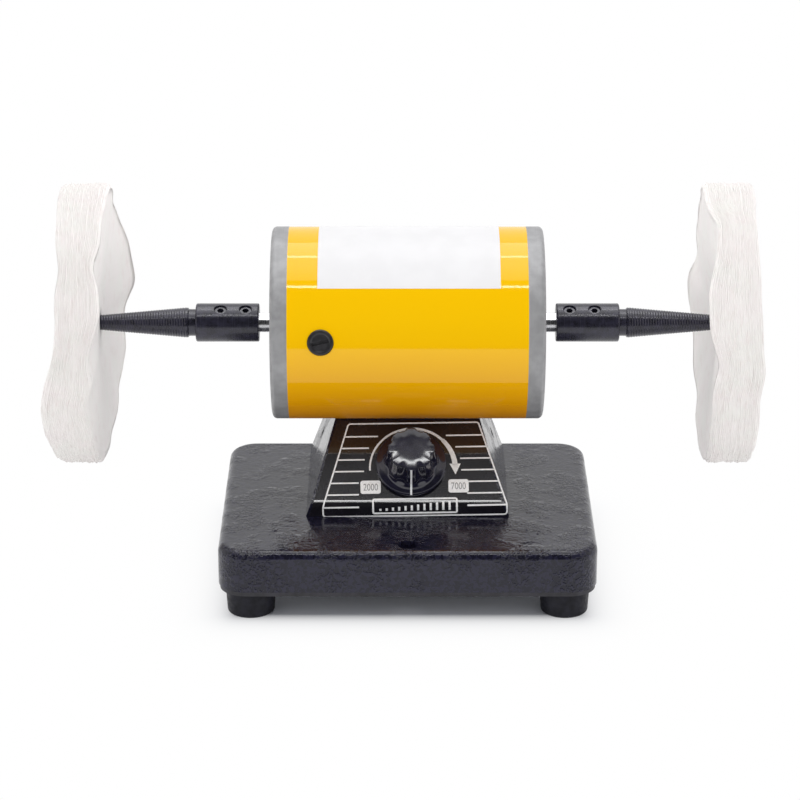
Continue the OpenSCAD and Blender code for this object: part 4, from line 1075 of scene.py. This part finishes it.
def add_lamp(name, front, back, radiance, glints_only=False):
    """A flat lamp over the bench that faces down, between two places from front to back.

    Its power is radiance times pi times its area. One for glints alone leaves matt surfaces as they are.
    """
    lamp = bpy.data.lights.new(name, "AREA")
    lamp.shape = "RECTANGLE"
    lamp.size, lamp.size_y = LAMP_WIDTH, back - front
    lamp.energy = radiance * math.pi * lamp.size * lamp.size_y
    holder = bpy.data.objects.new(name, lamp)
    holder.location = (0, (front + back) / 2, LAMP_HEIGHT - (STRIP_DROP if glints_only else 0))
    holder.visible_diffuse = not glints_only
    bpy.context.scene.collection.objects.link(holder)


def set_world():
    """White to the camera, and for what is mirrored white behind and dim in front.

    The rest of the rays meet a fill that is stronger low down and aside.
    """
    world = bpy.data.worlds.new("studio")
    world.use_nodes = True
    bpy.context.scene.world = world
    sky = Nodes(world.node_tree)
    way = sky.add("ShaderNodeSeparateXYZ", {0: sky.add("ShaderNodeTexCoord").outputs["Generated"]})
    mirrored = sky.between(way.outputs["Y"], GLINT_FRONT, 1.0, -0.45, 0.1)
    bright = sky.math("MAXIMUM", mirrored, sky.add("ShaderNodeLightPath").outputs["Is Camera Ray"])
    backdrop = sky.add("ShaderNodeBackground", {"Strength": bright})
    aside = sky.between(sky.math("ABSOLUTE", way.outputs["X"]), 1.0, FILL_ASIDE, 0.25, 1.0)
    level = sky.math("MULTIPLY", aside, sky.between(way.outputs["Z"], FILL_LOW, FILL_TOP))
    fill = sky.add("ShaderNodeBackground", {"Strength": level})
    for source in (backdrop, fill):
        source.inputs["Color"].default_value = (1, 1, 1, 1)
    light = sky.seen(backdrop.outputs[0], fill.outputs[0])
    sky.tree.links.new(light, sky.tree.nodes["World Output"].inputs["Surface"])


def lay_floor():
    """Pale table: matt near the base, where it keeps the lathe's real shadow, and a painted white glow away from
    it that decides where that shadow ends.

    The share of white is 1 less e to the power of (distance from the base's footprint over FLOOR_FADE).
    """
    points = [(-FLOOR_REACH, -FLOOR_FRONT, 0), (FLOOR_REACH, -FLOOR_FRONT, 0),
              (FLOOR_REACH, FLOOR_REACH, 0), (-FLOOR_REACH, FLOOR_REACH, 0)]
    mesh = bpy.data.meshes.new("floor")
    mesh.from_pydata(points, [], [[0, 1, 2, 3]])
    material = bpy.data.materials.new("pale_table")
    material.use_nodes = True
    table = Nodes(material.node_tree)
    matt = table.tree.nodes["Principled BSDF"]
    matt.inputs["Base Color"].default_value = (0.7, 0.72, 0.78, 1)
    matt.inputs["Roughness"].default_value = 0.7
    matt.inputs["Specular IOR Level"].default_value = 0.2
    place = table.add("ShaderNodeSeparateXYZ", {0: table.add("ShaderNodeTexCoord").outputs["Object"]})
    middle, half = (BASE_LOW + BASE_HIGH) / 2 * MM, (BASE_HIGH - BASE_LOW) / 2 * MM - FLOOR_TUCK
    squares = []
    for axis in (0, 1):
        off = table.math("ABSOLUTE", table.math("SUBTRACT", place.outputs[axis], float(middle[axis])))
        past = table.math("MAXIMUM", table.math("SUBTRACT", off, float(half[axis])), 0.0)
        squares.append(table.math("MULTIPLY", past, past))
    away = table.math("SQRT", table.math("ADD", *squares))
    # Painted shadow edge: the floor glows plain white more and more away from the base's footprint, for the camera
    # and glints as for the other rays. The matt floor's real shadow therefore shows only close to the base.
    dull = table.math("POWER", math.e, table.math("MULTIPLY", away, -1 / FLOOR_FADE))
    white, fill = (table.add("ShaderNodeEmission", {"Strength": s}).outputs[0] for s in (1.0, FLOOR_FILL))
    mixed = table.add("ShaderNodeMixShader", {0: dull, 1: table.seen(white, fill), 2: matt.outputs[0]})
    table.tree.links.new(mixed.outputs[0], table.tree.nodes["Material Output"].inputs["Surface"])
    mesh.materials.append(material)
    floor = bpy.data.objects.new("floor", mesh)
    bpy.context.scene.collection.objects.link(floor)


set_camera()
set_world()
lay_floor()
add_lamp("front_edge", -0.58, -0.46, 0.22)
add_lamp("overhead", -0.38, 0.25, 1.13)
add_lamp("rear", 0.25, 0.85, 1.85)
add_lamp("front_strip", -0.575, -0.515, 12.0, glints_only=True)
add_lamp("middle_strip", 0.22, 0.28, 6.0, glints_only=True)
bpy.context.scene.view_settings.view_transform = "Standard"
